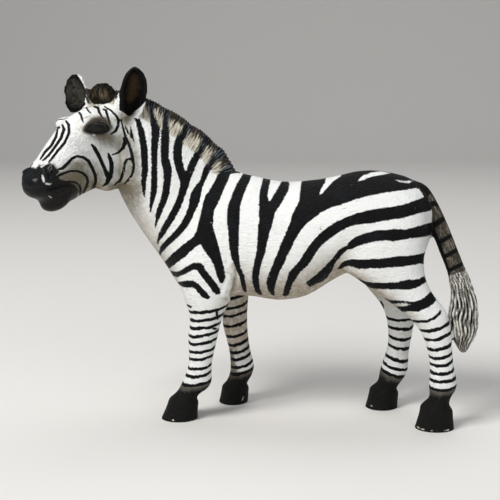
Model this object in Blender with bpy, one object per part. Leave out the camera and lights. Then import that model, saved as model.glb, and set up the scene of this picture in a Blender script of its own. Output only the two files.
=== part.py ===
"""A standing zebra figurine, moulded in one piece of solid plastic, its head turned to its left.

The figure's forms are lofts and swellings that overlap. A voxel remesh welds them into one closed skin, which
is smoothed, thinned out and cut flat at the ground. The figure faces -X, its left side is -Y, and +Z is up.
The tables of its forms are drawn in millimetres on a figure FIGURE_TABLE_HEIGHT tall, measured from the middle
of its stance, and UNIT turns them into metres at the real size.
"""
import math

import bmesh
import bpy
import numpy as np
from mathutils import Matrix, Vector

# Driving dimensions, in metres and degrees
FIGURE_HEIGHT = 0.0936
STANCE_HALF_WIDTH = 0.0083
EAR_LENGTH = 0.0124
EAR_WIDTH = 0.0076
EAR_WALL = 0.0015
MANE_THICKNESS = 0.0040
MANE_HEIGHT = 0.0044
TAIL_THICKNESS = 0.0044
TUFT_INSIDE_HOCK = 0.0031
HEAD_TURN = 58.0
HEAD_PITCH = 36.0
MANE_CLUMPS = 6
MANE_LOCKS = 22

# The tables' own scale, and the middle of the figure's box on the ground in them
FIGURE_TABLE_HEIGHT = 93.6
BOX_MIDDLE = (-11.44, -7.75, -0.8)
UNIT = FIGURE_HEIGHT / FIGURE_TABLE_HEIGHT

# How finely the skin is made, as shares of the height and of the faces
VOXEL_SHARE = 0.0062
SMOOTH_TURNS = 4
FACES_KEPT = 0.075
RING_SIDES = 24
LOFT_STEPS = 5

# Trunk: x, belly z, back z, half width, how much narrower its top is
TRUNK = (
    (-36.8, 38.5, 50.0, 5.0, 0.00),
    (-33.5, 33.6, 58.0, 9.6, 0.02),
    (-28.0, 30.6, 63.2, 12.4, 0.10),
    (-21.0, 31.6, 65.2, 13.4, 0.16),
    (-14.0, 31.7, 64.2, 14.0, 0.14),
    (-6.5, 30.8, 62.6, 14.8, 0.10),
    (1.0, 32.2, 62.9, 15.0, 0.08),
    (8.0, 36.6, 64.0, 14.4, 0.06),
    (14.0, 39.4, 65.5, 13.8, 0.04),
    (20.0, 38.4, 65.6, 13.2, 0.02),
    (26.0, 37.0, 64.2, 12.2, 0.00),
    (30.6, 40.5, 61.4, 9.2, 0.00),
    (33.0, 48.5, 58.0, 4.2, 0.00),
)

# Neck: crest x, y, z, throat x, y, z, half width
NECK = (
    (-12.0, 0.0, 57.5, -30.0, 0.0, 33.0, 10.4),
    (-17.0, 0.0, 62.6, -34.8, 0.0, 36.4, 11.2),
    (-23.0, 0.0, 66.6, -38.6, -0.6, 41.4, 10.4),
    (-29.0, -0.6, 71.6, -42.6, -2.2, 47.4, 9.2),
    (-34.6, -1.8, 75.9, -45.8, -4.4, 53.2, 8.1),
    (-39.8, -3.2, 79.4, -48.2, -6.2, 58.8, 7.1),
    (-44.8, -4.6, 81.4, -49.6, -7.2, 63.8, 5.9),
    (-49.4, -6.2, 81.4, -50.4, -7.8, 69.0, 4.6),
)

# Head in its own axes, forward X, left Y, up Z: x, top z, jaw z, half width, how much narrower its top is
HEAD_ORIGIN = (-52.0, -8.0, 79.6)
HEAD = (
    (-5.0, 1.0, -9.5, 4.4, 0.00),
    (-1.8, 2.6, -12.4, 6.0, -0.05),
    (3.0, 5.4, -14.4, 6.4, -0.08),
    (7.5, 6.7, -14.6, 6.4, -0.08),
    (11.0, 6.8, -13.2, 6.4, -0.10),
    (15.0, 6.2, -11.8, 6.1, -0.13),
    (19.0, 5.5, -10.4, 5.6, -0.13),
    (23.0, 4.8, -9.1, 5.1, -0.08),
    (26.5, 3.8, -6.4, 4.5, 0.00),
    (29.0, 2.8, -3.0, 4.0, 0.00),
    (30.2, 1.4, -1.4, 2.4, 0.00),
)

# Swellings of the head: x, y, z, their radii, 1 where both sides have them, and 1 where they lie level
HEAD_SWELLINGS = (
    (7.6, 3.8, -8.4, 8.2, 2.9, 7.2, 1, 0),
    (-1.0, 0.0, 0.8, 4.0, 6.2, 3.2, 0, 0),
    (6.8, 4.7, 3.5, 4.3, 2.1, 1.9, 1, 1),
    (6.6, 5.1, 2.1, 3.0, 1.7, 1.6, 1, 1),
    (25.2, 3.4, 1.6, 3.0, 1.9, 2.4, 1, 0),
    (27.0, 0.0, 0.3, 3.7, 4.7, 3.5, 0, 0),
    (24.4, 0.0, -5.7, 5.0, 4.1, 3.2, 0, 0),
)

# Ears: base x, y, z, tip direction x, y, z, opening direction x, y, share of the ear length, inner side
EARS = (
    ((-45.2, -7.0, 80.6), (2.7, -1.5, 11.6), (0.62, -0.79), 1.0, -1),
    ((-58.3, -7.6, 80.8), (-2.2, 2.6, 9.8), (-0.21, -0.98), 0.9, 1),
)

# Root of each ear on its inner side, across, out and up from the ear's base, and its radii
EAR_ROOT = (3.2, 0.6, 2.6)
EAR_ROOT_RADII = (1.4, 1.6, 4.2)

# Legs: z, front x, rear x, outward offset from the hoof's middle, half width
FORE_LEFT = (
    (3.0, -34.2, -28.8, 0.0, 3.3),
    (5.8, -33.8, -27.7, 0.0, 3.2),
    (7.6, -33.0, -25.2, 0.0, 3.1),
    (9.6, -32.0, -24.1, 0.0, 3.2),
    (12.0, -30.9, -24.1, 0.1, 3.1),
    (15.0, -30.2, -23.9, 0.2, 2.8),
    (18.5, -30.1, -23.1, 0.2, 2.9),
    (22.0, -30.2, -22.3, 0.3, 3.4),
    (25.5, -29.7, -21.4, 0.3, 3.6),
    (29.0, -29.9, -20.2, 0.3, 4.1),
    (33.0, -31.6, -18.0, 0.2, 4.9),
    (38.0, -32.8, -16.2, 0.0, 5.6),
    (44.0, -33.0, -15.4, -0.2, 5.9),
    (50.5, -30.8, -15.4, -0.8, 5.2),
    (56.5, -26.5, -17.5, -2.2, 3.2),
)
FORE_RIGHT = (
    (2.4, -23.4, -17.4, 0.0, 3.1),
    (4.6, -23.2, -17.0, 0.0, 3.1),
    (6.4, -22.3, -15.9, 0.0, 3.0),
    (8.6, -21.8, -15.1, 0.0, 3.2),
    (11.0, -21.8, -15.3, 0.1, 3.1),
    (14.0, -22.1, -16.1, 0.2, 2.8),
    (17.5, -22.9, -16.6, 0.2, 2.9),
    (21.0, -23.8, -16.9, 0.3, 3.4),
    (24.5, -24.0, -16.9, 0.3, 3.6),
    (28.5, -25.4, -16.6, 0.3, 4.1),
    (33.0, -29.0, -16.2, 0.2, 4.9),
    (38.0, -31.8, -15.8, 0.0, 5.6),
    (44.0, -32.4, -15.4, -0.2, 5.9),
    (50.5, -30.8, -15.4, -0.8, 5.2),
    (56.5, -26.5, -17.5, -2.2, 3.2),
)
HIND_LEFT = (
    (3.0, 31.8, 38.6, 0.0, 3.3),
    (5.8, 32.9, 38.5, 0.0, 3.1),
    (7.6, 33.4, 38.9, 0.0, 3.0),
    (9.6, 33.2, 40.1, 0.0, 3.2),
    (12.0, 33.2, 40.3, 0.1, 3.2),
    (15.0, 33.3, 39.6, 0.2, 2.9),
    (18.5, 32.9, 39.1, 0.2, 2.8),
    (22.0, 32.0, 38.8, 0.3, 3.0),
    (25.0, 30.7, 38.6, 0.3, 3.3),
    (28.0, 28.2, 38.0, 0.4, 3.6),
    (31.0, 24.6, 36.9, 0.4, 4.0),
    (34.0, 20.2, 34.6, 0.3, 4.5),
    (37.5, 15.2, 32.6, 0.1, 5.2),
    (41.0, 10.6, 31.7, -0.2, 5.9),
    (46.5, 9.0, 31.8, -0.4, 6.4),
    (52.0, 10.4, 32.0, -0.8, 6.2),
    (57.5, 14.5, 31.0, -1.8, 4.9),
    (61.5, 19.5, 27.5, -3.2, 2.8),
)
HIND_RIGHT = (
    (2.4, 18.0, 24.4, 0.0, 3.1),
    (5.0, 18.9, 25.0, 0.0, 3.0),
    (6.8, 19.7, 26.3, 0.0, 2.9),
    (9.0, 20.0, 27.6, 0.0, 3.2),
    (11.6, 20.7, 27.9, 0.1, 3.2),
    (14.8, 21.7, 28.0, 0.2, 2.8),
    (18.0, 22.3, 28.5, 0.2, 2.8),
    (21.0, 22.2, 29.0, 0.3, 3.0),
    (24.0, 21.8, 29.6, 0.3, 3.3),
    (27.0, 20.8, 30.6, 0.4, 3.6),
    (30.0, 18.8, 31.2, 0.4, 4.1),
    (33.5, 15.5, 31.2, 0.3, 4.7),
    (37.5, 12.4, 31.3, 0.1, 5.4),
    (41.0, 10.2, 31.5, -0.2, 5.9),
    (46.5, 9.0, 31.8, -0.4, 6.4),
    (52.0, 10.4, 32.0, -0.8, 6.2),
    (57.5, 14.5, 31.0, -1.8, 4.9),
    (61.5, 19.5, 27.5, -3.2, 2.8),
)

# Hooves: toe x and heel x on the ground, toe x and heel x at the coronet, toe and heel heights there
HOOVES = (
    (-38.0, -28.1, -34.9, -28.0, 6.0, 4.6, -1),
    (-25.1, -16.9, -23.8, -16.6, 4.8, 4.0, 1),
    (29.7, 39.9, 31.8, 39.2, 6.6, 5.0, -1),
    (16.2, 25.1, 17.9, 25.3, 5.6, 4.2, 1),
)
HOOF_HALF_WIDTH = (4.4, 3.7)
BELOW_GROUND = 1.6

# Tail: middle x, share of its swing to the left hock, z, and its half thickness along the body and across it,
# as shares of the tail's own
TAIL = (
    (26.0, 0.00, 61.6, 0.8, 1.0),
    (29.8, 0.00, 59.8, 1.2, 1.35),
    (32.8, 0.04, 55.8, 1.1, 1.1),
    (35.2, 0.11, 51.0, 1.06, 1.0),
    (37.5, 0.21, 45.4, 1.07, 1.0),
    (39.6, 0.35, 40.2, 1.08, 1.0),
    (40.9, 0.50, 36.2, 1.2, 1.1),
    (41.7, 0.68, 32.2, 1.5, 1.35),
    (41.7, 0.85, 28.0, 1.70, 1.6),
    (41.8, 0.97, 24.0, 1.48, 1.4),
    (41.8, 1.00, 20.8, 0.80, 0.9),
    (41.9, 1.00, 18.7, 0.30, 0.4),
)

# Mane: crest x, y, z and the lean of its hair, x, y, z; then its depth in the neck, the notches between its
# clumps as a share of its height, and how much narrower the mane and the neck are at their tops
MANE = (
    (-49.4, -5.6, 83.2, -0.25, -0.1, 1.0),
    (-44.6, -3.2, 81.6, -0.1, 0.0, 1.0),
    (-39.4, -2.6, 79.3, 0.15, 0.0, 1.0),
    (-34.4, -1.8, 76.1, 0.4, 0.0, 1.0),
    (-29.2, -0.8, 72.2, 0.55, 0.0, 0.9),
    (-24.8, -0.3, 68.2, 0.65, 0.0, 0.8),
    (-23.2, 0.0, 65.8, 0.85, 0.0, 0.5),
    (-22.6, 0.0, 63.4, 0.95, 0.0, 0.1),
)
MANE_ROOT = 3.6
MANE_NOTCH = 0.09
MANE_NOTCH_SHARPNESS = 8
MANE_TAPER = 0.35
NECK_TAPER = 0.28

# Locks down the mane's sides: their middle's height as a share of the mane's, how much that varies and how fast,
# and their half length along the crest, then half width and half height as shares of the mane's
LOCK_LIFT = 0.30
LOCK_LIFT_CHANGE = 0.06
LOCK_RHYTHM = 2.3
LOCK_HALF_LENGTH = 0.8
LOCK_SIDE_SHARE = 0.98
LOCK_HEIGHT_SHARE = 0.66

# Forelock between the ears: its middle and radii, and its locks' number, spread, lift and radii
FORELOCK = (-52.1, -7.8, 85.6)
FORELOCK_RADII = (4.0, 2.5, 3.3)
FORELOCK_LOCKS = 5
FORELOCK_SPREAD = 0.7
FORELOCK_LIFT = 1.1
FORELOCK_ARCH = 0.7
FORELOCK_LOCK_RADII = (1.1, 1.3, 1.9)

# Ear leaf: where it is widest, how it tapers from there, its cup's depth at base and tip as shares of its half
# width, how far it is set forward of its base, and how much of its wall lies outside its width
EAR_WIDEST = 0.46
EAR_TAPER = 0.87
EAR_ROUNDNESS = 2.5
EAR_TIP_WIDTH = 0.02
EAR_CUP_AT_BASE = 1.35
EAR_CUP_AT_TIP = 0.40
EAR_SET_FORWARD = 0.6
EAR_RIM_SHARE = 0.3
EAR_RISE_STEPS = 15
EAR_ARC_POINTS = 9

# Heights of a hoof's rings as shares of the coronet's, and how far each swells; the last narrows into the pastern
HOOF_RINGS = ((0.0, 1.0), (0.35, 1.0), (0.7, 1.04), (0.88, 1.09), (1.12, 0.80))


def smooth_table(table, steps=LOFT_STEPS):
    """Return the table's rows with Catmull-Rom rows between them."""
    rows = np.array(table, dtype=float)
    padded = np.vstack((2 * rows[0] - rows[1], rows, 2 * rows[-1] - rows[-2]))
    place = np.linspace(0, len(rows) - 1, (len(rows) - 1) * steps + 1)
    first = np.minimum(place.astype(int), len(rows) - 2)
    t = (place - first)[:, None]
    a, b, c, d = (padded[first + k] for k in range(4))
    return b + 0.5 * t * ((c - a) + t * ((2 * a - 5 * b + 4 * c - d) + t * (3 * b - a - 3 * c + d)))


def oval(middle, side, up, half_side, half_up, egg=0.0):
    """Return one ring of points, narrower at its top by the share egg."""
    turn = np.linspace(0, 2 * math.pi, RING_SIDES, endpoint=False)[:, None]
    across = np.asarray(side) * (half_side * np.cos(turn) * (1 - egg * np.sin(turn)))
    return np.asarray(middle) + across + np.asarray(up) * (half_up * np.sin(turn))


def add_loft(form, rings):
    """Skin a row of rings and close both ends."""
    loops = [[form.verts.new(Vector(point) * UNIT) for point in ring] for ring in rings]
    count = len(loops[0])
    for lower, upper in zip(loops, loops[1:]):
        for k in range(count):
            j = (k + 1) % count
            form.faces.new((lower[k], lower[j], upper[j], upper[k]))
    form.faces.new(loops[0][::-1])
    form.faces.new(loops[-1])


def add_swelling(form, middle, radii, turn=None):
    """Add an ellipsoid, with its radii along the axes of turn."""
    place = Matrix.Translation(Vector(middle) * UNIT)
    if turn is not None:
        place = place @ turn.to_4x4()
    place = place @ Matrix.Diagonal((radii[0] * UNIT, radii[1] * UNIT, radii[2] * UNIT, 1.0))
    bmesh.ops.create_icosphere(form, subdivisions=3, radius=1.0, matrix=place)


def unit(vector):
    """Return the vector at length one."""
    vector = np.asarray(vector, dtype=float)
    return vector / np.linalg.norm(vector)


def add_trunk(form):
    """Barrel, chest and rump, ringed along X."""
    rings = []
    for x, belly, back, half_width, egg in smooth_table(TRUNK):
        middle = (x, 0.0, (belly + back) / 2)
        rings.append(oval(middle, (0, 1, 0), (0, 0, 1), half_width, (back - belly) / 2, egg))
    add_loft(form, rings)


def add_neck(form):
    """Neck, ringed from the withers to behind the jaw, each ring from throat to crest."""
    rows = smooth_table(NECK)
    middles = (rows[:, 0:3] + rows[:, 3:6]) / 2
    along = np.gradient(middles, axis=0)
    rings = []
    for row, middle, direction in zip(rows, middles, along):
        up = unit(row[0:3] - row[3:6])
        side = unit(np.cross(up, direction))
        half_up = np.linalg.norm(row[0:3] - row[3:6]) / 2
        rings.append(oval(middle, side, up, row[6], half_up, NECK_TAPER))
    add_loft(form, rings)


def head_axes():
    """Return the head's forward, left and up directions."""
    turn = math.radians(HEAD_TURN)
    pitch = math.radians(HEAD_PITCH)
    forward = np.array((-math.cos(turn) * math.cos(pitch), -math.sin(turn) * math.cos(pitch), -math.sin(pitch)))
    left = np.array((math.sin(turn), -math.cos(turn), 0.0))
    return forward, left, np.cross(forward, left)


def on_head(x, y, z):
    """Return the place of a point given in the head's own axes."""
    forward, left, up = head_axes()
    return np.array(HEAD_ORIGIN) + x * forward + y * left + z * up


def add_head(form):
    """Skull and nose as one loft, with cheeks, brows, eyes, nostrils, lips and chin swelling from it."""
    forward, left, up = head_axes()
    rings = []
    for x, top, jaw, half_width, egg in smooth_table(HEAD):
        rings.append(oval(on_head(x, 0, (top + jaw) / 2), left, up, half_width, (top - jaw) / 2, egg))
    add_loft(form, rings)
    pitched = Matrix((forward, left, up)).transposed()
    level = Matrix((unit((forward[0], forward[1], 0.0)), left, (0.0, 0.0, 1.0))).transposed()
    for x, y, z, long, wide, high, paired, lies_level in HEAD_SWELLINGS:
        for side in (1, -1) if paired else (1,):
            turn = level if lies_level else pitched
            add_swelling(form, on_head(x, side * y, z), (long, wide, high), turn)


def add_ear(form, base, tip_way, opening, share, inner_side):
    """A cupped leaf: an arc swept from base to tip, wide in its middle, with a wall and a thick root."""
    up = unit(tip_way)
    out = unit(np.array((*opening, 0.0)) - np.dot((*opening, 0.0), up) * up)
    side = np.cross(up, out)
    length = EAR_LENGTH / UNIT * share
    half = EAR_WIDTH / UNIT * share / 2
    wall = EAR_WALL / UNIT
    rim = wall * EAR_RIM_SHARE
    arc = np.linspace(-1.0, 1.0, EAR_ARC_POINTS)
    rings = []
    for rise in np.linspace(0.0, 1.0, EAR_RISE_STEPS):
        taper = EAR_TAPER * abs(2 * (rise - EAR_WIDEST)) ** EAR_ROUNDNESS
        width = half * max(1 - taper, EAR_TIP_WIDTH) ** 0.5 - rim
        depth = half * (EAR_CUP_AT_BASE + (EAR_CUP_AT_TIP - EAR_CUP_AT_BASE) * rise)
        inner = [side * width * a - out * depth * (1 - a * a) for a in arc]
        outer = [side * (width + rim) * a - out * (depth * (1 - a * a) + wall) for a in arc[::-1]]
        middle = np.array(base) + up * (length * rise) + out * depth * EAR_SET_FORWARD
        rings.append([middle + point for point in inner + outer])
    add_loft(form, rings)
    across, forward, rise = np.array(EAR_ROOT) * share
    root = np.array(base) + side * across * inner_side + out * forward + up * rise
    add_swelling(form, root, EAR_ROOT_RADII, Matrix((side, out, up)).transposed())


def add_leg(form, table, side):
    """A leg from inside its hoof to inside the trunk, as level rings."""
    rings = []
    for z, front, rear, offset, half_width in smooth_table(table):
        middle = ((front + rear) / 2, side * (STANCE_HALF_WIDTH / UNIT + offset), z)
        rings.append(oval(middle, (0, 1, 0), (1, 0, 0), half_width, (rear - front) / 2))
    add_loft(form, rings)


def add_hoof(form, toe, heel, toe_top, heel_top, toe_height, heel_height, side):
    """A hoof: a blunt cone of ovals that lean back from the ground to the coronet."""
    rings = []
    y = side * STANCE_HALF_WIDTH / UNIT
    ground = (np.array((toe, y, BOX_MIDDLE[2])), np.array((heel, y, BOX_MIDDLE[2])), HOOF_HALF_WIDTH[0])
    coronet = (np.array((toe_top, y, toe_height)), np.array((heel_top, y, heel_height)), HOOF_HALF_WIDTH[1])
    for share, swell in ((-BELOW_GROUND / toe_height, 1.0), *HOOF_RINGS):
        front = ground[0] + (coronet[0] - ground[0]) * share
        rear = ground[1] + (coronet[1] - ground[1]) * share
        half_width = (ground[2] + (coronet[2] - ground[2]) * share) * swell
        rings.append(oval((front + rear) / 2, (0, 1, 0), unit(rear - front), half_width,
                          np.linalg.norm(rear - front) / 2 * swell))
    add_loft(form, rings)


def add_tail(form):
    """The tail, which swings to its left and swells into its tuft against the hock."""
    rows = smooth_table(TAIL)
    rows[:, 1] *= -(STANCE_HALF_WIDTH - TUFT_INSIDE_HOCK) / UNIT
    along = np.gradient(rows[:, 0:3], axis=0)
    half = TAIL_THICKNESS / UNIT / 2
    rings = []
    for row, direction in zip(rows, along):
        across = np.array((0.0, 1.0, 0.0))
        up = unit(np.cross(across, direction))
        rings.append(oval(row[0:3], across, up, row[4] * half, row[3] * half))
    add_loft(form, rings)


def add_mane(form):
    """An upright wedge of hair along the crest, notched between its clumps, with locks down its sides."""
    rows = smooth_table(MANE)
    half = MANE_THICKNESS / UNIT / 2
    height = MANE_HEIGHT / UNIT
    along = np.gradient(rows[:, 0:3], axis=0)
    rings = []
    for share, row, direction in zip(np.linspace(0, 1, len(rows)), rows, along):
        up = unit(row[3:6])
        side = unit(np.cross(up, direction))
        tall = height * (1 - MANE_NOTCH * abs(math.cos(math.pi * MANE_CLUMPS * share)) ** MANE_NOTCH_SHARPNESS)
        middle = row[0:3] + up * (tall - MANE_ROOT) / 2
        rings.append(oval(middle, side, up, half, (tall + MANE_ROOT) / 2, MANE_TAPER))
    add_loft(form, rings)
    lock_radii = (LOCK_HALF_LENGTH, half * LOCK_SIDE_SHARE, height * LOCK_HEIGHT_SHARE)
    for index, place in enumerate(np.linspace(1, len(rows) - 2, MANE_LOCKS)):
        nearest = int(round(place))
        up = unit(rows[nearest, 3:6])
        side = unit(np.cross(up, along[nearest]))
        turn = Matrix((unit(np.cross(side, up)), side, up)).transposed()
        lift = height * (LOCK_LIFT + LOCK_LIFT_CHANGE * math.sin(LOCK_RHYTHM * index))
        add_swelling(form, rows[nearest, 0:3] + up * lift, lock_radii, turn)


def add_forelock(form):
    """The tuft that stands between the ears."""
    left = head_axes()[1]
    up = np.array((0.0, 0.0, 1.0))
    add_swelling(form, FORELOCK, FORELOCK_RADII, Matrix((left, unit(np.cross(up, left)), up)).transposed())
    for share in np.linspace(-1.0, 1.0, FORELOCK_LOCKS):
        across = left * (share * FORELOCK_RADII[0] * FORELOCK_SPREAD)
        lift = up * (FORELOCK_LIFT - FORELOCK_ARCH * share * share)
        add_swelling(form, np.array(FORELOCK) + across + lift, FORELOCK_LOCK_RADII)


def make_skin():
    """Join every form, weld them into one skin, and cut it flat at the ground."""
    form = bmesh.new()
    add_trunk(form)
    add_neck(form)
    add_head(form)
    for ear in EARS:
        add_ear(form, *ear)
    for table, side in ((FORE_LEFT, -1), (FORE_RIGHT, 1), (HIND_LEFT, -1), (HIND_RIGHT, 1)):
        add_leg(form, table, side)
    for hoof in HOOVES:
        add_hoof(form, *hoof)
    add_tail(form)
    add_mane(form)
    add_forelock(form)
    bmesh.ops.translate(form, verts=form.verts, vec=Vector(BOX_MIDDLE) * -UNIT)
    bmesh.ops.recalc_face_normals(form, faces=form.faces)
    mesh = bpy.data.meshes.new("zebra")
    form.to_mesh(mesh)
    form.free()
    return mesh


def painted_plastic():
    """White painted plastic, the figure's main colour."""
    material = bpy.data.materials.new("painted_plastic")
    material.use_nodes = True
    shader = material.node_tree.nodes["Principled BSDF"]
    shader.inputs["Base Color"].default_value = (0.78, 0.76, 0.72, 1.0)
    shader.inputs["Roughness"].default_value = 0.55
    shader.inputs["Metallic"].default_value = 0.0
    return material


def ground_cutter():
    """A hidden block whose top is the ground."""
    size = FIGURE_HEIGHT * 2
    mesh = bpy.data.meshes.new("ground_cutter")
    block = bmesh.new()
    bmesh.ops.create_cube(block, size=size)
    bmesh.ops.translate(block, verts=block.verts, vec=Vector((0.0, 0.0, -size / 2)))
    block.to_mesh(mesh)
    block.free()
    cutter = bpy.data.objects.new("ground_cutter", mesh)
    cutter.display_type = "WIRE"
    cutter.hide_render = True
    bpy.context.scene.collection.objects.link(cutter)
    return cutter


for leftover in list(bpy.data.objects):
    bpy.data.objects.remove(leftover)

zebra = bpy.data.objects.new("zebra", make_skin())
bpy.context.scene.collection.objects.link(zebra)
zebra.data.materials.append(painted_plastic())

weld = zebra.modifiers.new("weld", "REMESH")
weld.mode = "VOXEL"
weld.voxel_size = FIGURE_HEIGHT * VOXEL_SHARE
weld.use_smooth_shade = True

soften = zebra.modifiers.new("soften", "SMOOTH")
soften.factor = 0.5
soften.iterations = SMOOTH_TURNS

thin_out = zebra.modifiers.new("thin_out", "DECIMATE")
thin_out.ratio = FACES_KEPT

cut_flat = zebra.modifiers.new("cut_flat", "BOOLEAN")
cut_flat.operation = "DIFFERENCE"
cut_flat.solver = "EXACT"
cut_flat.object = ground_cutter()
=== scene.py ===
"""The looks of a small zebra figurine: one solid plastic casting, sprayed warm white and striped by hand.

The figure faces -X, its left side is -Y and +Z is up. Its forms are drawn in millimetres, as in the part's
source, and the casting is made from them finely enough to carry the hair of its mane and tail. The stripes follow
the photograph, so they are kept in its pixels and thrown onto the casting from where the camera stood.
"""
import math

import bmesh
import bpy
import numpy as np
from mathutils import Matrix, Vector, noise
from mathutils.bvhtree import BVHTree


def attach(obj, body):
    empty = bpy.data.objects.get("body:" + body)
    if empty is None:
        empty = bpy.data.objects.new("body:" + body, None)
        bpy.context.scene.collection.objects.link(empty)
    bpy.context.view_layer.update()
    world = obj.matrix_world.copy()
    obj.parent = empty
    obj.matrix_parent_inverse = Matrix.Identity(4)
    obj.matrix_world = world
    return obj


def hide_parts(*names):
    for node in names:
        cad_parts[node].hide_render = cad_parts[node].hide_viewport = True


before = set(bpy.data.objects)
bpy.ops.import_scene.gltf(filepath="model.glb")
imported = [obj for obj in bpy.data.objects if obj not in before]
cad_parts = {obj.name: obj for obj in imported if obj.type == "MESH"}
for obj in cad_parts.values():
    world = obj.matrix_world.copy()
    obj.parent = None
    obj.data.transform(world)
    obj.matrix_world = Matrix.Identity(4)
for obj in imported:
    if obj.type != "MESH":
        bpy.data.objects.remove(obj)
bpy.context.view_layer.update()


# The view: from the figure's left side, a little above its back and a little behind its middle, through a long
# lens. The paint below is thrown from the same place.
CAMERA_PLACE = np.array((0.03794, -0.26775, 0.0899))
CAMERA_AZIMUTH = math.radians(8.5)
CAMERA_ELEVATION = math.radians(9.2)
CAMERA_ROLL = math.radians(0.5)
PHOTO_SIDE = 500
FOCAL_PIXELS = 1050.0
SENSOR_WIDTH = 36.0

view_back = np.array((math.sin(CAMERA_AZIMUTH) * math.cos(CAMERA_ELEVATION),
                      -math.cos(CAMERA_AZIMUTH) * math.cos(CAMERA_ELEVATION),
                      math.sin(CAMERA_ELEVATION)))
level_right = np.array((math.cos(CAMERA_AZIMUTH), math.sin(CAMERA_AZIMUTH), 0.0))
level_up = np.cross(view_back, level_right)
view_right = level_right * math.cos(CAMERA_ROLL) - level_up * math.sin(CAMERA_ROLL)
view_up = level_right * math.sin(CAMERA_ROLL) + level_up * math.cos(CAMERA_ROLL)


def photo_pixel(points):
    """Return where points, in metres, fall in the photograph."""
    seen = points - CAMERA_PLACE
    depth = -(seen @ view_back)
    across = PHOTO_SIDE / 2 + FOCAL_PIXELS * (seen @ view_right) / depth
    down = PHOTO_SIDE / 2 - FOCAL_PIXELS * (seen @ view_up) / depth
    return np.stack((across, down), axis=1)


camera = bpy.data.objects.new("camera", bpy.data.cameras.new("camera"))
camera.data.sensor_width = SENSOR_WIDTH
camera.data.lens = FOCAL_PIXELS / PHOTO_SIDE * SENSOR_WIDTH
camera.data.clip_start = 0.01
turned = Matrix((view_right, view_up, view_back)).transposed().to_4x4()
camera.matrix_world = Matrix.Translation(CAMERA_PLACE) @ turned
bpy.context.scene.collection.objects.link(camera)
bpy.context.scene.camera = camera


# Trunk and neck: the middle of the solid casting. Both are lofts of ovals, the trunk's along the body and the
# neck's from the withers to behind the jaw, and they run into each other without a seam.
MILLIMETRE = 0.001
GROUND = -0.8
BOX_MIDDLE = np.array((-11.44, -7.75, GROUND))
RING_SIDES = 32
ROWS_BETWEEN = 6
# x, belly z, back z, half width, and how much narrower its top is
TRUNK = (
    (-36.8, 38.5, 50.0, 5.0, 0.00),
    (-33.5, 33.6, 58.0, 9.6, 0.02),
    (-28.0, 30.6, 63.2, 12.4, 0.10),
    (-21.0, 31.6, 65.2, 13.4, 0.16),
    (-14.0, 31.7, 64.2, 14.0, 0.14),
    (-6.5, 30.8, 62.6, 14.8, 0.10),
    (1.0, 32.2, 62.9, 15.0, 0.08),
    (8.0, 36.6, 64.0, 14.4, 0.06),
    (14.0, 39.4, 65.5, 13.8, 0.04),
    (20.0, 38.4, 65.6, 13.2, 0.02),
    (26.0, 37.0, 64.2, 12.2, 0.00),
    (30.6, 40.5, 61.4, 9.2, 0.00),
    (33.0, 48.5, 58.0, 4.2, 0.00),
)
# crest x, y, z, throat x, y, z and half width
NECK = (
    (-12.0, 0.0, 57.5, -30.0, 0.0, 33.0, 10.4),
    (-17.0, 0.0, 62.6, -34.8, 0.0, 36.4, 11.2),
    (-23.0, 0.0, 66.6, -38.6, -0.6, 41.4, 10.4),
    (-29.0, -0.6, 71.6, -42.6, -2.2, 47.4, 9.2),
    (-34.6, -1.8, 75.9, -45.8, -4.4, 53.2, 8.1),
    (-39.8, -3.2, 79.4, -48.2, -6.2, 58.8, 7.1),
    (-44.8, -4.6, 81.4, -49.6, -7.2, 63.8, 5.9),
    (-49.4, -6.2, 81.4, -50.4, -7.8, 69.0, 4.6),
)
NECK_TAPER = 0.28
forms = {}


def smooth_rows(table, between=ROWS_BETWEEN):
    """Return the table's rows with rows of a smooth curve between them."""
    rows = np.array(table, dtype=float)
    padded = np.vstack((2 * rows[0] - rows[1], rows, 2 * rows[-1] - rows[-2]))
    place = np.linspace(0, len(rows) - 1, (len(rows) - 1) * between + 1)
    first = np.minimum(place.astype(int), len(rows) - 2)
    t = (place - first)[:, None]
    a, b, c, d = (padded[first + k] for k in range(4))
    return b + 0.5 * t * ((c - a) + t * ((2 * a - 5 * b + 4 * c - d) + t * (3 * b - a - 3 * c + d)))


def unit(vector):
    """Return the vector, or each row of vectors, at length one."""
    vector = np.asarray(vector, dtype=float)
    return vector / np.linalg.norm(vector, axis=-1, keepdims=True)


def oval(middle, side, up, half_side, half_up, taper=0.0):
    """Return one ring of points, narrower at its top by the share taper."""
    turn = np.linspace(0, 2 * math.pi, RING_SIDES, endpoint=False)[:, None]
    across = np.asarray(side) * (half_side * np.cos(turn) * (1 - taper * np.sin(turn)))
    return np.asarray(middle) + across + np.asarray(up) * (half_up * np.sin(turn))


def cast_loft(name, rings):
    """Add a closed loft through the rings to the forms of that name."""
    count = len(rings[0])
    faces = []
    for row in range(len(rings) - 1):
        for k in range(count):
            j = (k + 1) % count
            faces.append((row * count + k, row * count + j, (row + 1) * count + j, (row + 1) * count + k))
    faces.append(tuple(range(count))[::-1])
    faces.append(tuple(range((len(rings) - 1) * count, len(rings) * count)))
    forms.setdefault(name, []).append((np.vstack(rings), faces))


def cast_swelling(name, middle, radii, turn=None):
    """Add an ellipsoid, with its radii along the axes of turn, to the forms of that name."""
    ball = bmesh.new()
    bmesh.ops.create_icosphere(ball, subdivisions=4, radius=1.0)
    points = np.array([vert.co for vert in ball.verts]) * radii
    if turn is not None:
        points = points @ np.array(turn).T
    faces = [tuple(vert.index for vert in face.verts) for face in ball.faces]
    ball.free()
    forms.setdefault(name, []).append((points + np.asarray(middle), faces))


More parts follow.
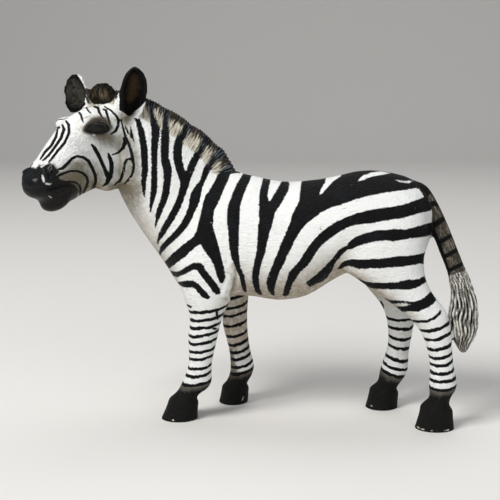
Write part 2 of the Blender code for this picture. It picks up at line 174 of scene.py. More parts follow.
trunk_rings = []
for x, belly, back, half_width, taper in smooth_rows(TRUNK):
    middle = (x, 0, (belly + back) / 2)
    trunk_rings.append(oval(middle, (0, 1, 0), (0, 0, 1), half_width, (back - belly) / 2, taper))
cast_loft("trunk", trunk_rings)

neck_rows = smooth_rows(NECK)
neck_middles = (neck_rows[:, 0:3] + neck_rows[:, 3:6]) / 2
neck_rings = []
for row, middle, ahead in zip(neck_rows, neck_middles, np.gradient(neck_middles, axis=0)):
    neck_up = unit(row[0:3] - row[3:6])
    neck_side = unit(np.cross(neck_up, ahead))
    half_height = np.linalg.norm(row[0:3] - row[3:6]) / 2
    neck_rings.append(oval(middle, neck_side, neck_up, row[6], half_height, NECK_TAPER))
cast_loft("neck", neck_rings)


# Head: turned to the figure's left and dipped, part of the same casting. Its forms are drawn in its own axes,
# forward X, left Y and up Z, and its cheeks, brows, eyes, nostrils, lips and chin swell from one loft.
HEAD_TURN = math.radians(58.0)
HEAD_PITCH = math.radians(36.0)
HEAD_ORIGIN = np.array((-52.0, -8.0, 79.6))
# forward x, top z, jaw z, half width, and how much narrower its top is
HEAD = (
    (-5.0, 1.0, -9.5, 4.4, 0.00),
    (-1.8, 2.6, -12.4, 6.0, -0.05),
    (3.0, 5.4, -14.4, 6.4, -0.08),
    (7.5, 6.7, -14.6, 6.4, -0.08),
    (11.0, 6.8, -13.2, 6.4, -0.10),
    (15.0, 6.2, -11.8, 6.1, -0.13),
    (19.0, 5.5, -10.4, 5.6, -0.13),
    (23.0, 4.8, -9.1, 5.1, -0.08),
    (26.5, 3.8, -6.4, 4.5, 0.00),
    (29.0, 2.8, -3.0, 4.0, 0.00),
    (30.2, 1.4, -1.4, 2.4, 0.00),
)
# x, y, z, three radii, 1 where both sides of the head have the swelling, and 1 where it lies level
HEAD_SWELLINGS = (
    (7.6, 3.8, -8.4, 8.2, 2.9, 7.2, 1, 0),
    (-1.0, 0.0, 0.8, 4.0, 6.2, 3.2, 0, 0),
    (6.8, 4.7, 3.5, 4.3, 2.1, 1.9, 1, 1),
    (6.6, 5.1, 2.1, 3.0, 1.7, 1.6, 1, 1),
    (25.2, 3.4, 1.6, 3.0, 1.9, 2.4, 1, 0),
    (27.0, 0.0, 0.3, 3.7, 4.7, 3.5, 0, 0),
    (24.4, 0.0, -5.7, 5.0, 4.1, 3.2, 0, 0),
)
head_forward = np.array((-math.cos(HEAD_TURN) * math.cos(HEAD_PITCH),
                         -math.sin(HEAD_TURN) * math.cos(HEAD_PITCH),
                         -math.sin(HEAD_PITCH)))
head_left = np.array((math.sin(HEAD_TURN), -math.cos(HEAD_TURN), 0.0))
head_up = np.cross(head_forward, head_left)


def on_head(x, y, z):
    """Return the place of a point given in the head's own axes."""
    return HEAD_ORIGIN + x * head_forward + y * head_left + z * head_up


head_rings = []
for x, top, jaw, half_width, taper in smooth_rows(HEAD):
    middle = on_head(x, 0, (top + jaw) / 2)
    head_rings.append(oval(middle, head_left, head_up, half_width, (top - jaw) / 2, taper))
cast_loft("head", head_rings)
pitched = np.stack((head_forward, head_left, head_up), axis=1)
level = np.stack((unit(head_forward * (1, 1, 0)), head_left, (0, 0, 1)), axis=1)
for x, y, z, long, wide, high, paired, lies_level in HEAD_SWELLINGS:
    for side in (1, -1) if paired else (1,):
        cast_swelling("head", on_head(x, side * y, z), (long, wide, high), level if lies_level else pitched)


# Ears: two cupped leaves of the same plastic, open to the front, thick at the base and rounded at the tip.
EAR_LENGTH = 12.4
EAR_WIDTH = 7.6
EAR_WALL = 1.5
EAR_RIM = EAR_WALL * 0.3
EAR_WIDEST = 0.46
EAR_TAPER = 0.87
EAR_ROUNDNESS = 2.5
EAR_CUP_AT_BASE = 1.35
EAR_CUP_AT_TIP = 0.40
EAR_SET_FORWARD = 0.6
EAR_TIP_LEAST = 0.02
EAR_ARC_POINTS = 13
EAR_RINGS = 25
EAR_ROOT = (3.2, 0.6, 2.6)
EAR_ROOT_RADII = (1.4, 1.6, 4.2)
# base, way to the tip, way that the cup opens, share of the full length, inner side
NEAR_EAR = ((-45.2, -7.0, 80.6), (2.7, -1.5, 11.6), (0.62, -0.79), 1.0, -1)
FAR_EAR = ((-58.3, -7.6, 80.8), (-2.2, 2.6, 9.8), (-0.21, -0.98), 0.9, 1)


def ear_axes(tip_way, opening):
    """Return the way up an ear and the way that its cup opens."""
    up = unit(tip_way)
    out = np.array((*opening, 0.0))
    return up, unit(out - np.dot(out, up) * up)


def cast_ear(name, base, tip_way, opening, share, inner_side):
    """Add one ear: an arc swept from base to tip, with a wall and a thick root."""
    up, out = ear_axes(tip_way, opening)
    across = np.cross(up, out)
    half = EAR_WIDTH * share / 2
    arc = np.linspace(-1.0, 1.0, EAR_ARC_POINTS)
    rings = []
    for rise in np.linspace(0.0, 1.0, EAR_RINGS):
        narrowed = EAR_TAPER * abs(2 * (rise - EAR_WIDEST)) ** EAR_ROUNDNESS
        width = half * max(1 - narrowed, EAR_TIP_LEAST) ** 0.5 - EAR_RIM
        depth = half * (EAR_CUP_AT_BASE + (EAR_CUP_AT_TIP - EAR_CUP_AT_BASE) * rise)
        inner = [across * width * a - out * depth * (1 - a * a) for a in arc]
        outer = [across * (width + EAR_RIM) * a - out * (depth * (1 - a * a) + EAR_WALL) for a in arc[::-1]]
        middle = np.array(base) + up * (EAR_LENGTH * share * rise) + out * depth * EAR_SET_FORWARD
        rings.append(np.array([middle + point for point in inner + outer]))
    cast_loft(name, rings)
    root_side, root_out, root_up = np.array(EAR_ROOT) * share
    root = np.array(base) + across * root_side * inner_side + out * root_out + up * root_up
    cast_swelling(name + "_root", root, EAR_ROOT_RADII, np.stack((across, out, up), axis=1))


cast_ear("near_ear", *NEAR_EAR)
cast_ear("far_ear", *FAR_EAR)


# Legs and hooves: four solid legs, lofted as level ovals from inside the hoof to inside the trunk. The soles
# are flat, where the casting was dressed so that the figure stands.
STANCE_HALF_WIDTH = 8.3
# z, front x, rear x, how far outward from the stance, and half width
FORE_LEFT = (
    (3.0, -34.2, -28.8, 0.0, 3.3),
    (5.8, -33.8, -27.7, 0.0, 3.2),
    (7.6, -33.0, -25.2, 0.0, 3.1),
    (9.6, -32.0, -24.1, 0.0, 3.2),
    (12.0, -30.9, -24.1, 0.1, 3.1),
    (15.0, -30.2, -23.9, 0.2, 2.8),
    (18.5, -30.1, -23.1, 0.2, 2.9),
    (22.0, -30.2, -22.3, 0.3, 3.4),
    (25.5, -29.7, -21.4, 0.3, 3.6),
    (29.0, -29.9, -20.2, 0.3, 4.1),
    (33.0, -31.6, -18.0, 0.2, 4.9),
    (38.0, -32.8, -16.2, 0.0, 5.6),
    (44.0, -33.0, -15.4, -0.2, 5.9),
    (50.5, -30.8, -15.4, -0.8, 5.2),
    (56.5, -26.5, -17.5, -2.2, 3.2),
)
FORE_RIGHT = (
    (2.4, -23.4, -17.4, 0.0, 3.1),
    (4.6, -23.2, -17.0, 0.0, 3.1),
    (6.4, -22.3, -15.9, 0.0, 3.0),
    (8.6, -21.8, -15.1, 0.0, 3.2),
    (11.0, -21.8, -15.3, 0.1, 3.1),
    (14.0, -22.1, -16.1, 0.2, 2.8),
    (17.5, -22.9, -16.6, 0.2, 2.9),
    (21.0, -23.8, -16.9, 0.3, 3.4),
    (24.5, -24.0, -16.9, 0.3, 3.6),
    (28.5, -25.4, -16.6, 0.3, 4.1),
    (33.0, -29.0, -16.2, 0.2, 4.9),
    (38.0, -31.8, -15.8, 0.0, 5.6),
    (44.0, -32.4, -15.4, -0.2, 5.9),
    (50.5, -30.8, -15.4, -0.8, 5.2),
    (56.5, -26.5, -17.5, -2.2, 3.2),
)
HIND_LEFT = (
    (3.0, 31.8, 38.6, 0.0, 3.3),
    (5.8, 32.9, 38.5, 0.0, 3.1),
    (7.6, 33.4, 38.9, 0.0, 3.0),
    (9.6, 33.2, 40.1, 0.0, 3.2),
    (12.0, 33.2, 40.3, 0.1, 3.2),
    (15.0, 33.3, 39.6, 0.2, 2.9),
    (18.5, 32.9, 39.1, 0.2, 2.8),
    (22.0, 32.0, 38.8, 0.3, 3.0),
    (25.0, 30.7, 38.6, 0.3, 3.3),
    (28.0, 28.2, 38.0, 0.4, 3.6),
    (31.0, 24.6, 36.9, 0.4, 4.0),
    (34.0, 20.2, 34.6, 0.3, 4.5),
    (37.5, 15.2, 32.6, 0.1, 5.2),
    (41.0, 10.6, 31.7, -0.2, 5.9),
    (46.5, 9.0, 31.8, -0.4, 6.4),
    (52.0, 10.4, 32.0, -0.8, 6.2),
    (57.5, 14.5, 31.0, -1.8, 4.9),
    (61.5, 19.5, 27.5, -3.2, 2.8),
)
HIND_RIGHT = (
    (2.4, 18.0, 24.4, 0.0, 3.1),
    (5.0, 18.9, 25.0, 0.0, 3.0),
    (6.8, 19.7, 26.3, 0.0, 2.9),
    (9.0, 20.0, 27.6, 0.0, 3.2),
    (11.6, 20.7, 27.9, 0.1, 3.2),
    (14.8, 21.7, 28.0, 0.2, 2.8),
    (18.0, 22.3, 28.5, 0.2, 2.8),
    (21.0, 22.2, 29.0, 0.3, 3.0),
    (24.0, 21.8, 29.6, 0.3, 3.3),
    (27.0, 20.8, 30.6, 0.4, 3.6),
    (30.0, 18.8, 31.2, 0.4, 4.1),
    (33.5, 15.5, 31.2, 0.3, 4.7),
    (37.5, 12.4, 31.3, 0.1, 5.4),
    (41.0, 10.2, 31.5, -0.2, 5.9),
    (46.5, 9.0, 31.8, -0.4, 6.4),
    (52.0, 10.4, 32.0, -0.8, 6.2),
    (57.5, 14.5, 31.0, -1.8, 4.9),
    (61.5, 19.5, 27.5, -3.2, 2.8),
)
# toe x and heel x on the ground, toe x and heel x at the coronet, toe and heel heights there, and the side
HOOVES = (
    (-38.0, -28.1, -34.9, -28.0, 6.0, 4.6, -1),
    (-25.1, -16.9, -23.8, -16.6, 4.8, 4.0, 1),
    (29.7, 39.9, 31.8, 39.2, 6.6, 5.0, -1),
    (16.2, 25.1, 17.9, 25.3, 5.6, 4.2, 1),
)
HOOF_HALF_WIDTH_GROUND = 4.4
HOOF_HALF_WIDTH_CORONET = 3.7
# heights of a hoof's rings as shares of the coronet's, and how far each swells
HOOF_RINGS = ((0.0, 1.0), (0.35, 1.0), (0.62, 1.03), (0.79, 1.07), (1.05, 0.82))
BELOW_GROUND = 1.6
LEGS = {"fore_left": (FORE_LEFT, -1), "fore_right": (FORE_RIGHT, 1),
        "hind_left": (HIND_LEFT, -1), "hind_right": (HIND_RIGHT, 1)}

for name, (table, side) in LEGS.items():
    leg_rings = []
    for z, front, rear, offset, half_width in smooth_rows(table):
        middle = ((front + rear) / 2, side * (STANCE_HALF_WIDTH + offset), z)
        leg_rings.append(oval(middle, (0, 1, 0), (1, 0, 0), half_width, (rear - front) / 2))
    cast_loft(name, leg_rings)

for toe, heel, toe_top, heel_top, toe_height, heel_height, side in HOOVES:
    y = side * STANCE_HALF_WIDTH
    hoof_rings = []
    for share, swell in ((-BELOW_GROUND / toe_height, 1.0), *HOOF_RINGS):
        front = np.array((toe + (toe_top - toe) * share, y, GROUND + (toe_height - GROUND) * share))
        rear = np.array((heel + (heel_top - heel) * share, y, GROUND + (heel_height - GROUND) * share))
        half_width = HOOF_HALF_WIDTH_GROUND + (HOOF_HALF_WIDTH_CORONET - HOOF_HALF_WIDTH_GROUND) * share
        hoof_rings.append(oval((front + rear) / 2, (0, 1, 0), unit(rear - front), half_width * swell,
                               np.linalg.norm(rear - front) / 2 * swell))
    cast_loft("hooves", hoof_rings)


# Tail: it hangs from the croup, swings to the left and swells into a tuft that is moulded to the left hock.
TUFT_INSIDE_HOCK = 3.1
TAIL_HALF = 2.2
# middle x, share of its swing to the hock, z, and half thickness along and across the body in TAIL_HALF
TAIL = (
    (26.0, 0.00, 61.6, 0.8, 1.0),
    (29.8, 0.00, 59.8, 1.2, 1.35),
    (32.8, 0.04, 55.8, 1.1, 1.1),
    (35.2, 0.11, 51.0, 1.06, 1.0),
    (37.5, 0.21, 45.4, 1.07, 1.0),
    (39.6, 0.35, 40.2, 1.08, 1.0),
    (40.9, 0.50, 36.2, 1.2, 1.1),
    (41.7, 0.68, 32.2, 1.5, 1.35),
    (41.7, 0.85, 28.0, 1.70, 1.6),
    (41.8, 0.97, 24.0, 1.48, 1.4),
    (41.8, 1.00, 20.8, 0.80, 0.9),
    (41.9, 1.00, 18.7, 0.30, 0.4),
)
tail_rows = smooth_rows(TAIL)
tail_rows[:, 1] *= TUFT_INSIDE_HOCK - STANCE_HALF_WIDTH
tail_rings = []
for row, down in zip(tail_rows, np.gradient(tail_rows[:, 0:3], axis=0)):
    tail_rings.append(oval(row[0:3], (0, 1, 0), unit(np.cross((0, 1, 0), down)), row[4] * TAIL_HALF,
                           row[3] * TAIL_HALF))
cast_loft("tail", tail_rings)


# Mane and forelock: an upright brush of hair along the crest, moulded with the neck, and a tuft between the
# ears. Both are cut into clumps along the top, and fine strands are combed into their sides.
MANE_HALF = 2.0
MANE_HEIGHT = 4.4
MANE_ROOT = 3.6
MANE_NOTCH = 0.09
MANE_NOTCH_SHARPNESS = 8
MANE_CLUMPS = 6
MANE_TAPER = 0.35
# crest x, y, z and the lean of its hair x, y, z
MANE = (
    (-49.4, -5.6, 83.2, -0.25, -0.1, 1.0),
    (-44.6, -3.2, 81.6, -0.1, 0.0, 1.0),
    (-39.4, -2.6, 79.3, 0.15, 0.0, 1.0),
    (-34.4, -1.8, 76.1, 0.4, 0.0, 1.0),
    (-29.2, -0.8, 72.2, 0.55, 0.0, 0.9),
    (-24.8, -0.3, 68.2, 0.65, 0.0, 0.8),
    (-23.2, 0.0, 65.8, 0.85, 0.0, 0.5),
    (-22.6, 0.0, 63.4, 0.95, 0.0, 0.1),
)
FORELOCK = np.array((-52.1, -7.8, 85.6))
FORELOCK_RADII = (4.0, 2.5, 3.3)
FORELOCK_LOCK_RADII = (1.1, 1.3, 1.9)
FORELOCK_LOCKS = 5
FORELOCK_SPREAD = 0.7
FORELOCK_LIFT = 1.1
FORELOCK_DROOP = 0.7

mane_rows = smooth_rows(MANE)
mane_ups = unit(mane_rows[:, 3:6])
mane_rings = []
for share, row, ahead, up in zip(np.linspace(0, 1, len(mane_rows)), mane_rows,
                                 np.gradient(mane_rows[:, 0:3], axis=0), mane_ups):
    notch = abs(math.cos(math.pi * MANE_CLUMPS * share)) ** MANE_NOTCH_SHARPNESS
    tall = MANE_HEIGHT * (1 - MANE_NOTCH * notch)
    middle = row[0:3] + up * (tall - MANE_ROOT) / 2
    mane_side = unit(np.cross(up, ahead))
    mane_rings.append(oval(middle, mane_side, up, MANE_HALF, (tall + MANE_ROOT) / 2, MANE_TAPER))
cast_loft("mane", mane_rings)

cast_swelling("forelock", FORELOCK, FORELOCK_RADII,
              np.stack((head_left, unit(np.cross((0, 0, 1), head_left)), (0, 0, 1)), axis=1))
for share in np.linspace(-1.0, 1.0, FORELOCK_LOCKS):
    sideways = head_left * share * FORELOCK_RADII[0] * FORELOCK_SPREAD
    upward = np.array((0, 0, FORELOCK_LIFT - FORELOCK_DROOP * share * share))
    cast_swelling("forelock", FORELOCK + sideways + upward, FORELOCK_LOCK_RADII)


# The casting: every form runs into the next as one skin of solid plastic, with soft fillets where limbs and
# neck meet the trunk, and it is cut flat under the hooves. The head, mane and tail carry finer relief.
SKIN_GRAIN = 0.61
FIRST_SMOOTHING = 4
FILLET_SMOOTHING = 34
FINE_SMOOTHING = 5
HOOF_FILLET = 0.10
FORELOCK_SOFTENED = (6.0, 6.0, 5.5)
FORELOCK_SMOOTHING = 7
FAR_OFF = 9.0
SKIN_FIT = 0.5
HAIR_FIT = 1.2
GROUND_FIT = 0.02
FINE_FIT = 1.0
TRUNK_FILLET_RISE = (29.0, 36.0)
HOOF_FILLET_RISE = (0.6, 2.4)
HOOF_FILLET_FALL = (8.0, 10.5)
# least x, greatest x and least z round each fine form: where the skin is split, and then where it is dressed
SPLIT_HEAD = (-math.inf, -40.0, 52.0)
SPLIT_HAIR = (-math.inf, -14.0, 60.0)
SPLIT_TAIL = (30.0, math.inf, 15.0)
ROUND_HEAD = (-math.inf, -36.0, -math.inf)
ROUND_HAIR = (-math.inf, -12.0, 56.0)
ROUND_TAIL = (24.0, math.inf, -math.inf)


def joined(names):
    """Return the points and faces of the named forms in one list each."""
    points, faces, start = [], [], 0
    for name in names:
        for some_points, some_faces in forms[name]:
            points.append(some_points)
            faces += [tuple(k + start for k in face) for face in some_faces]
            start += len(some_points)
    return np.vstack(points), faces


def tree_of(*names):
    """Return a search tree over the named forms."""
    points, faces = joined(names)
    return BVHTree.FromPolygons([Vector(point) for point in points], faces)


def distance_to(tree, points):
    """Return each point's distance to the nearest face of the tree."""
    return np.array([tree.find_nearest(Vector(point))[3] for point in points])


def distance_in(box, tree, points):
    """Return each point's distance to the tree inside the box, and FAR_OFF outside it."""
    inside = (points[:, 0] > box[0]) & (points[:, 0] < box[1]) & (points[:, 2] > box[2])
    distance = np.full(len(points), FAR_OFF)
    distance[inside] = distance_to(tree, points[inside])
    return distance


def ease(value, low, high):
    """Return 0 below low, 1 above high and a smooth rise between."""
    share = np.clip((value - low) / (high - low), 0.0, 1.0)
    return share * share * (3 - 2 * share)


form_points, form_faces = joined(forms)
blank_mesh = bpy.data.meshes.new("casting_blank")
blank_mesh.from_pydata((form_points * MILLIMETRE).tolist(), [], form_faces)
blank = bpy.data.objects.new("casting_blank", blank_mesh)
bpy.context.scene.collection.objects.link(blank)
weld = blank.modifiers.new("weld", "REMESH")
weld.mode = "VOXEL"
weld.voxel_size = SKIN_GRAIN * MILLIMETRE
soften = blank.modifiers.new("soften", "SMOOTH")
soften.factor = 0.5
soften.iterations = FIRST_SMOOTHING
skin_mesh = bpy.data.meshes.new_from_object(blank.evaluated_get(bpy.context.evaluated_depsgraph_get()))
bpy.data.objects.remove(blank)

skin = bmesh.new()
skin.from_mesh(skin_mesh)
bmesh.ops.bisect_plane(skin, geom=skin.verts[:] + skin.edges[:] + skin.faces[:],
                       plane_co=(0, 0, GROUND * MILLIMETRE), plane_no=(0, 0, 1), clear_inner=True)
open_edges = [edge for edge in skin.edges if edge.is_boundary]
bmesh.ops.holes_fill(skin, edges=open_edges, sides=0)

places = np.array([vert.co for vert in skin.verts]) / MILLIMETRE
hair_forms = tree_of("mane", "forelock")
face_forms = tree_of("head", "near_ear", "far_ear")
tail_forms = tree_of("tail")
fine = distance_in(SPLIT_HEAD, face_forms, places) < SKIN_FIT
fine |= distance_in(SPLIT_HAIR, hair_forms, places) < HAIR_FIT
fine |= distance_in(SPLIT_TAIL, tail_forms, places) < SKIN_FIT
skin.verts.ensure_lookup_table()
fine_edges = [edge for edge in skin.edges if fine[edge.verts[0].index] and fine[edge.verts[1].index]]
bmesh.ops.subdivide_edges(skin, edges=fine_edges, cuts=1, use_grid_fill=True)
bmesh.ops.triangulate(skin, faces=skin.faces[:])
bmesh.ops.recalc_face_normals(skin, faces=skin.faces[:])
skin.to_mesh(skin_mesh)
skin.free()

count = len(skin_mesh.vertices)
flat = np.empty(count * 3)
skin_mesh.vertices.foreach_get("co", flat)
places = flat.reshape(-1, 3) / MILLIMETRE
edge_ends = np.empty(len(skin_mesh.edges) * 2, int)
skin_mesh.edges.foreach_get("vertices", edge_ends)
edge_ends = edge_ends.reshape(-1, 2)
neighbours = np.maximum(np.bincount(edge_ends.ravel(), minlength=count), 1)
on_ground = places[:, 2] < GROUND + GROUND_FIT


def around(values):
    """Return the mean of each point's neighbours."""
    summed = np.empty_like(values)
    for axis in range(values.shape[1]):
        summed[:, axis] = (np.bincount(edge_ends[:, 0], values[edge_ends[:, 1], axis], count)
                           + np.bincount(edge_ends[:, 1], values[edge_ends[:, 0], axis], count))
    return summed / neighbours[:, None]


def smoothed(values, amount, turns):
    """Return values evened out by amount, from 0 to 1 at each point, that many times."""
    for _ in range(turns):
        values = values + amount[:, None] * 0.5 * (around(values) - values)
    return values


x, y, z = places.T
head_distance = distance_in(ROUND_HEAD, face_forms, places)
mane_distance = distance_in(ROUND_HAIR, hair_forms, places)
tail_distance = distance_in(ROUND_TAIL, tail_forms, places)
hoof_fillet = HOOF_FILLET * ease(z, *HOOF_FILLET_RISE) * (1 - ease(z, *HOOF_FILLET_FALL))
leg_fillet = np.maximum(ease(z, *TRUNK_FILLET_RISE), hoof_fillet)
fillet = (leg_fillet * ease(head_distance, 0.5, 3.0) * ease(mane_distance, 0.6, 3.0)
          * ease(tail_distance, 0.6, 2.5) * (~on_ground))
places = smoothed(places, fillet, FILLET_SMOOTHING)
finer = np.minimum(head_distance, np.minimum(mane_distance, tail_distance)) < FINE_FIT
places = smoothed(places, finer.astype(float), FINE_SMOOTHING)
in_forelock = np.linalg.norm((places - FORELOCK) / FORELOCK_SOFTENED, axis=1) < 1.0
places = smoothed(places, in_forelock.astype(float), FORELOCK_SMOOTHING)


def settle(new_places):
    """Put the skin's points at new_places and return its normals."""
    skin_mesh.vertices.foreach_set("co", (new_places * MILLIMETRE).ravel())
    skin_mesh.update()
    normals = np.empty(count * 3)
    skin_mesh.vertex_normals.foreach_get("vector", normals)
    return normals.reshape(-1, 3)


normals = settle(places)


# Where the paint falls. Each point of the visible side is found in the photograph. The other side is mirrored
# through the middle of the neck, trunk and head, so that it carries the same stripes in keeping.
FACE_FIT = 0.8
TAIL_FIT = 0.4
HEAD_SEEN_PAST_MIDDLE = 2.5
NECK_STARTS = -12.0
MIDDLE_SPREAD = 4.0
OUTSIDE = -99.0
middle_line = np.vstack((neck_rows[:, 0:3], neck_rows[:, 3:6]))


def middle_of_body(points):
    """Return the y of the body's middle at each point, from the crest and throat of the neck."""
    weights = np.zeros(len(points))
    weighed = np.zeros(len(points))
    for place in middle_line:
        away = (points[:, 0] - place[0]) ** 2 + (points[:, 2] - place[2]) ** 2
        weight = (away + MIDDLE_SPREAD) ** -2
        weights += weight
        weighed += weight * place[1]
    return np.where(points[:, 0] < NECK_STARTS, weighed / weights, 0.0)


def mirrored(points):
    """Return the points with those of the hidden side put through the middle of what they lie on."""
    across_head = (points - HEAD_ORIGIN) @ head_left
    turned_points = points.copy()
    on_far_face = (head_distance < FACE_FIT) & (across_head < -HEAD_SEEN_PAST_MIDDLE)
    turned_points[on_far_face] -= 2 * across_head[on_far_face, None] * head_left
    middle = middle_of_body(points)
    on_far_side = (head_distance >= FACE_FIT) & (points[:, 1] > middle) & (tail_distance > TAIL_FIT)
    turned_points[on_far_side, 1] = 2 * middle[on_far_side] - points[on_far_side, 1]
    return turned_points


def paint_pixels(points):
    """Return the photograph's pixel that each point takes its paint from."""
    return photo_pixel((points - BOX_MIDDLE) * MILLIMETRE)


def off_segment(pixels, start, end):
    """Return how far each pixel lies from a straight line, and its share of the way along it."""
    way = end - start
    share = np.clip(((pixels - start) @ way) / max(way @ way, 1e-9), 0.0, 1.0)
    return np.hypot(*(pixels - start - share[:, None] * way).T), share


def stroke(pixels, line):
    """Return how far inside a brush stroke each pixel is. A stroke is a line of x, y, width."""
    line = np.array(line, dtype=float)
    best = np.full(len(pixels), OUTSIDE)
    for start, end in zip(line, line[1:]):
        gap, share = off_segment(pixels, start[:2], end[:2])
        best = np.maximum(best, (start[2] + (end[2] - start[2]) * share) / 2 - gap)
    return best


def patch(pixels, outline):
    """Return how far inside a closed outline each pixel is, negative outside."""
    outline = np.array(outline, dtype=float)
    gap = np.full(len(pixels), -OUTSIDE)
    inside = np.zeros(len(pixels), bool)
    for start, end in zip(outline, np.roll(outline, -1, axis=0)):
        gap = np.minimum(gap, off_segment(pixels, start, end)[0])
        if end[1] != start[1]:
            crosses = (start[1] > pixels[:, 1]) != (end[1] > pixels[:, 1])
            slant = (end[0] - start[0]) / (end[1] - start[1])
            inside ^= crosses & (pixels[:, 0] < start[0] + (pixels[:, 1] - start[1]) * slant)
    return np.where(inside, gap, -gap)


def union(pixels, strokes=(), patches=()):
    """Return how far inside any of the strokes and patches each pixel is."""
    best = np.full(len(pixels), OUTSIDE)
    for line in strokes:
        best = np.maximum(best, stroke(pixels, line))
    for outline in patches:
        best = np.maximum(best, patch(pixels, outline))
    return best


def only(where, depth):
    """Return the depth inside a paint where it may lie, and OUTSIDE elsewhere."""
    return np.where(where, depth, OUTSIDE)


# Relief of the hair: strands moulded in the plastic, upright along the mane, down the tail's tuft and over the
# forelock. They sway, and their depth varies.
STRAND_DEPTH = 0.15
STRAND_GAP = 0.68
TUFT_STRAND_DEPTH = 0.24
TUFT_STRANDS = 21
FORELOCK_STRAND_GAP = 1.3
COMBED_FIT = 4.0
HAIR_LOWEST = -6
HAIR_HIGHEST = 7
TAIL_STARTS = 27
TUFT_START = 27.5
ROUND_FORELOCK = (-math.inf, -46.0, 78.0)


def wander(points, size, seed):
    """Return smooth noise from -1 to 1 over the points, with features about size across."""
    shift = Vector((seed * 7.3, seed * 3.1, seed * 5.7))
    return np.array([noise.noise(Vector(point) / size + shift) for point in points])


def steps_along(line):
    """Return how far along a line of points each of them lies."""
    return np.concatenate(([0.0], np.cumsum(np.linalg.norm(np.diff(line, axis=0), axis=1))))


crest_steps = steps_along(mane_rows[:, 0:3])
combed = mane_distance < COMBED_FIT
strand = np.zeros(count)
hair_height = np.full(count, -FAR_OFF)
from_crest = places[combed][:, None, :] - mane_rows[None, :, 0:3]
height = (from_crest * mane_ups).sum(2)
slant = from_crest[:, :, 0] * mane_ups[:, 2] - from_crest[:, :, 2] * mane_ups[:, 0]
reach = np.abs(slant) + np.where((height < HAIR_LOWEST) | (height > HAIR_HIGHEST), 20.0, 0.0)
nearest = np.clip(np.argmin(reach, axis=1), 0, len(mane_rows) - 2)
rows_here = np.arange(len(nearest))
slant_here = slant[rows_here, nearest]
slant_next = slant[rows_here, nearest + 1]
slant_change = slant_here - slant_next
slant_change = np.where(np.abs(slant_change) < 1e-6, 1e-6, slant_change)
between = np.clip(slant_here / slant_change, -1, 1)
strand[combed] = crest_steps[nearest] + between * (crest_steps[nearest + 1] - crest_steps[nearest])
hair_height[combed] = height[rows_here, nearest]
hair_side = np.zeros(count)
hair_side[combed] = places[combed, 1] - mane_rows[nearest, 1]

tail_steps = steps_along(tail_rows[:, 0:3])
on_tail = (tail_distance < SKIN_FIT) & (x > TAIL_STARTS)
tail_along = np.zeros(count)
tail_angle = np.zeros(count)
from_tail = places[on_tail][:, None, :] - tail_rows[None, :, 0:3]
closest = np.argmin((from_tail ** 2).sum(2), axis=1)
tail_along[on_tail] = tail_steps[closest]
tail_offset = from_tail[np.arange(len(closest)), closest]
tail_angle[on_tail] = np.arctan2(tail_offset[:, 0], -tail_offset[:, 1])
in_tuft = on_tail * ease(tail_along, TUFT_START - 1.0, TUFT_START + 1.5)

mane_mask = combed * ease(hair_height, -1.6, 0.2)
mane_mask *= ease(-mane_distance, -1.6, -0.4) * ease(head_distance, 0.2, 1.0)
sway = wander(places * (1, 1, 0.5), 2.4, 1)
mane_wave = np.sin(2 * math.pi * strand / STRAND_GAP + 1.6 * sway)
mane_wave += 0.5 * np.sin(2 * math.pi * strand / (STRAND_GAP * 0.57) + 2.4 * sway + 1.0)
tuft_wave = np.sin(TUFT_STRANDS * tail_angle + 7.0 * wander(places * (1, 1, 0.8), 3.4, 2))
tuft_wave += 0.5 * np.sin(TUFT_STRANDS * 0.6 * tail_angle + 6.0 * wander(places * (1, 1, 0.7), 2.6, 3))
forelock_mask = ease(-distance_in(ROUND_FORELOCK, tree_of("forelock"), places), -0.8, -0.2)
across_forelock = (places - FORELOCK) @ head_left
forelock_wave = np.sin(2 * math.pi * across_forelock / FORELOCK_STRAND_GAP + 1.8 * sway)
relief = STRAND_DEPTH * mane_mask * mane_wave
relief += TUFT_STRAND_DEPTH * in_tuft * tuft_wave
relief += STRAND_DEPTH * forelock_mask * forelock_wave


# Hooves and elbow: a coronet stands proud above each hoof wall, and the left elbow folds against the chest.
CORONET_PROUD = 0.10
CORONET_GROOVE = 0.08
ELBOW_RIDGE_HEIGHT = 0.35
ELBOW_FOLD_DEPTH = 0.55
CRUMPLE_HEIGHT = 0.28
ELBOW_RIDGE = ((230.5, 262, 3), (230.5, 272, 4), (228.5, 284, 5), (225.5, 296, 5))
ELBOW_CREASE = ((229, 252, 3), (231, 266, 6), (231, 280, 9), (226, 293, 10))
ELBOW_FOLD = ((235.5, 266, 1.5), (235.5, 276, 2), (234, 287, 2.6), (231.5, 297, 2.6))
x, y, z = places.T
for toe, heel, _, _, toe_height, heel_height, side in HOOVES:
    of_hoof = (np.abs(y - side * STANCE_HALF_WIDTH) < 6) & (x > toe - 2) & (x < heel + 3) & (z < 10)
    slope = np.clip((x - toe) / (heel - toe), 0, 1)
    up_wall = (z - GROUND) / (toe_height + (heel_height - toe_height) * slope - GROUND)
    ledge = (CORONET_PROUD * np.exp(-((up_wall - 0.80) / 0.09) ** 2)
             - CORONET_GROOVE * np.exp(-((up_wall - 1.05) / 0.11) ** 2))
    relief += np.where(of_hoof, ledge, 0.0)
pixels = paint_pixels(mirrored(places))
at_elbow = (y < 0) & (x < -12) & (z > 27) & (z < 46)
relief += np.where(at_elbow, ELBOW_RIDGE_HEIGHT * ease(stroke(pixels, ELBOW_RIDGE), -3.5, 1.5), 0.0)
relief -= np.where(at_elbow, ELBOW_FOLD_DEPTH * ease(stroke(pixels, ELBOW_FOLD), -3.0, 1.0), 0.0)
crumple = ease(stroke(pixels, ELBOW_CREASE), -7.0, 2.0) * (y < 0) * (x < -8)
relief += CRUMPLE_HEIGHT * crumple * wander(places * (1.6, 1, 0.8), 1.5, 12)


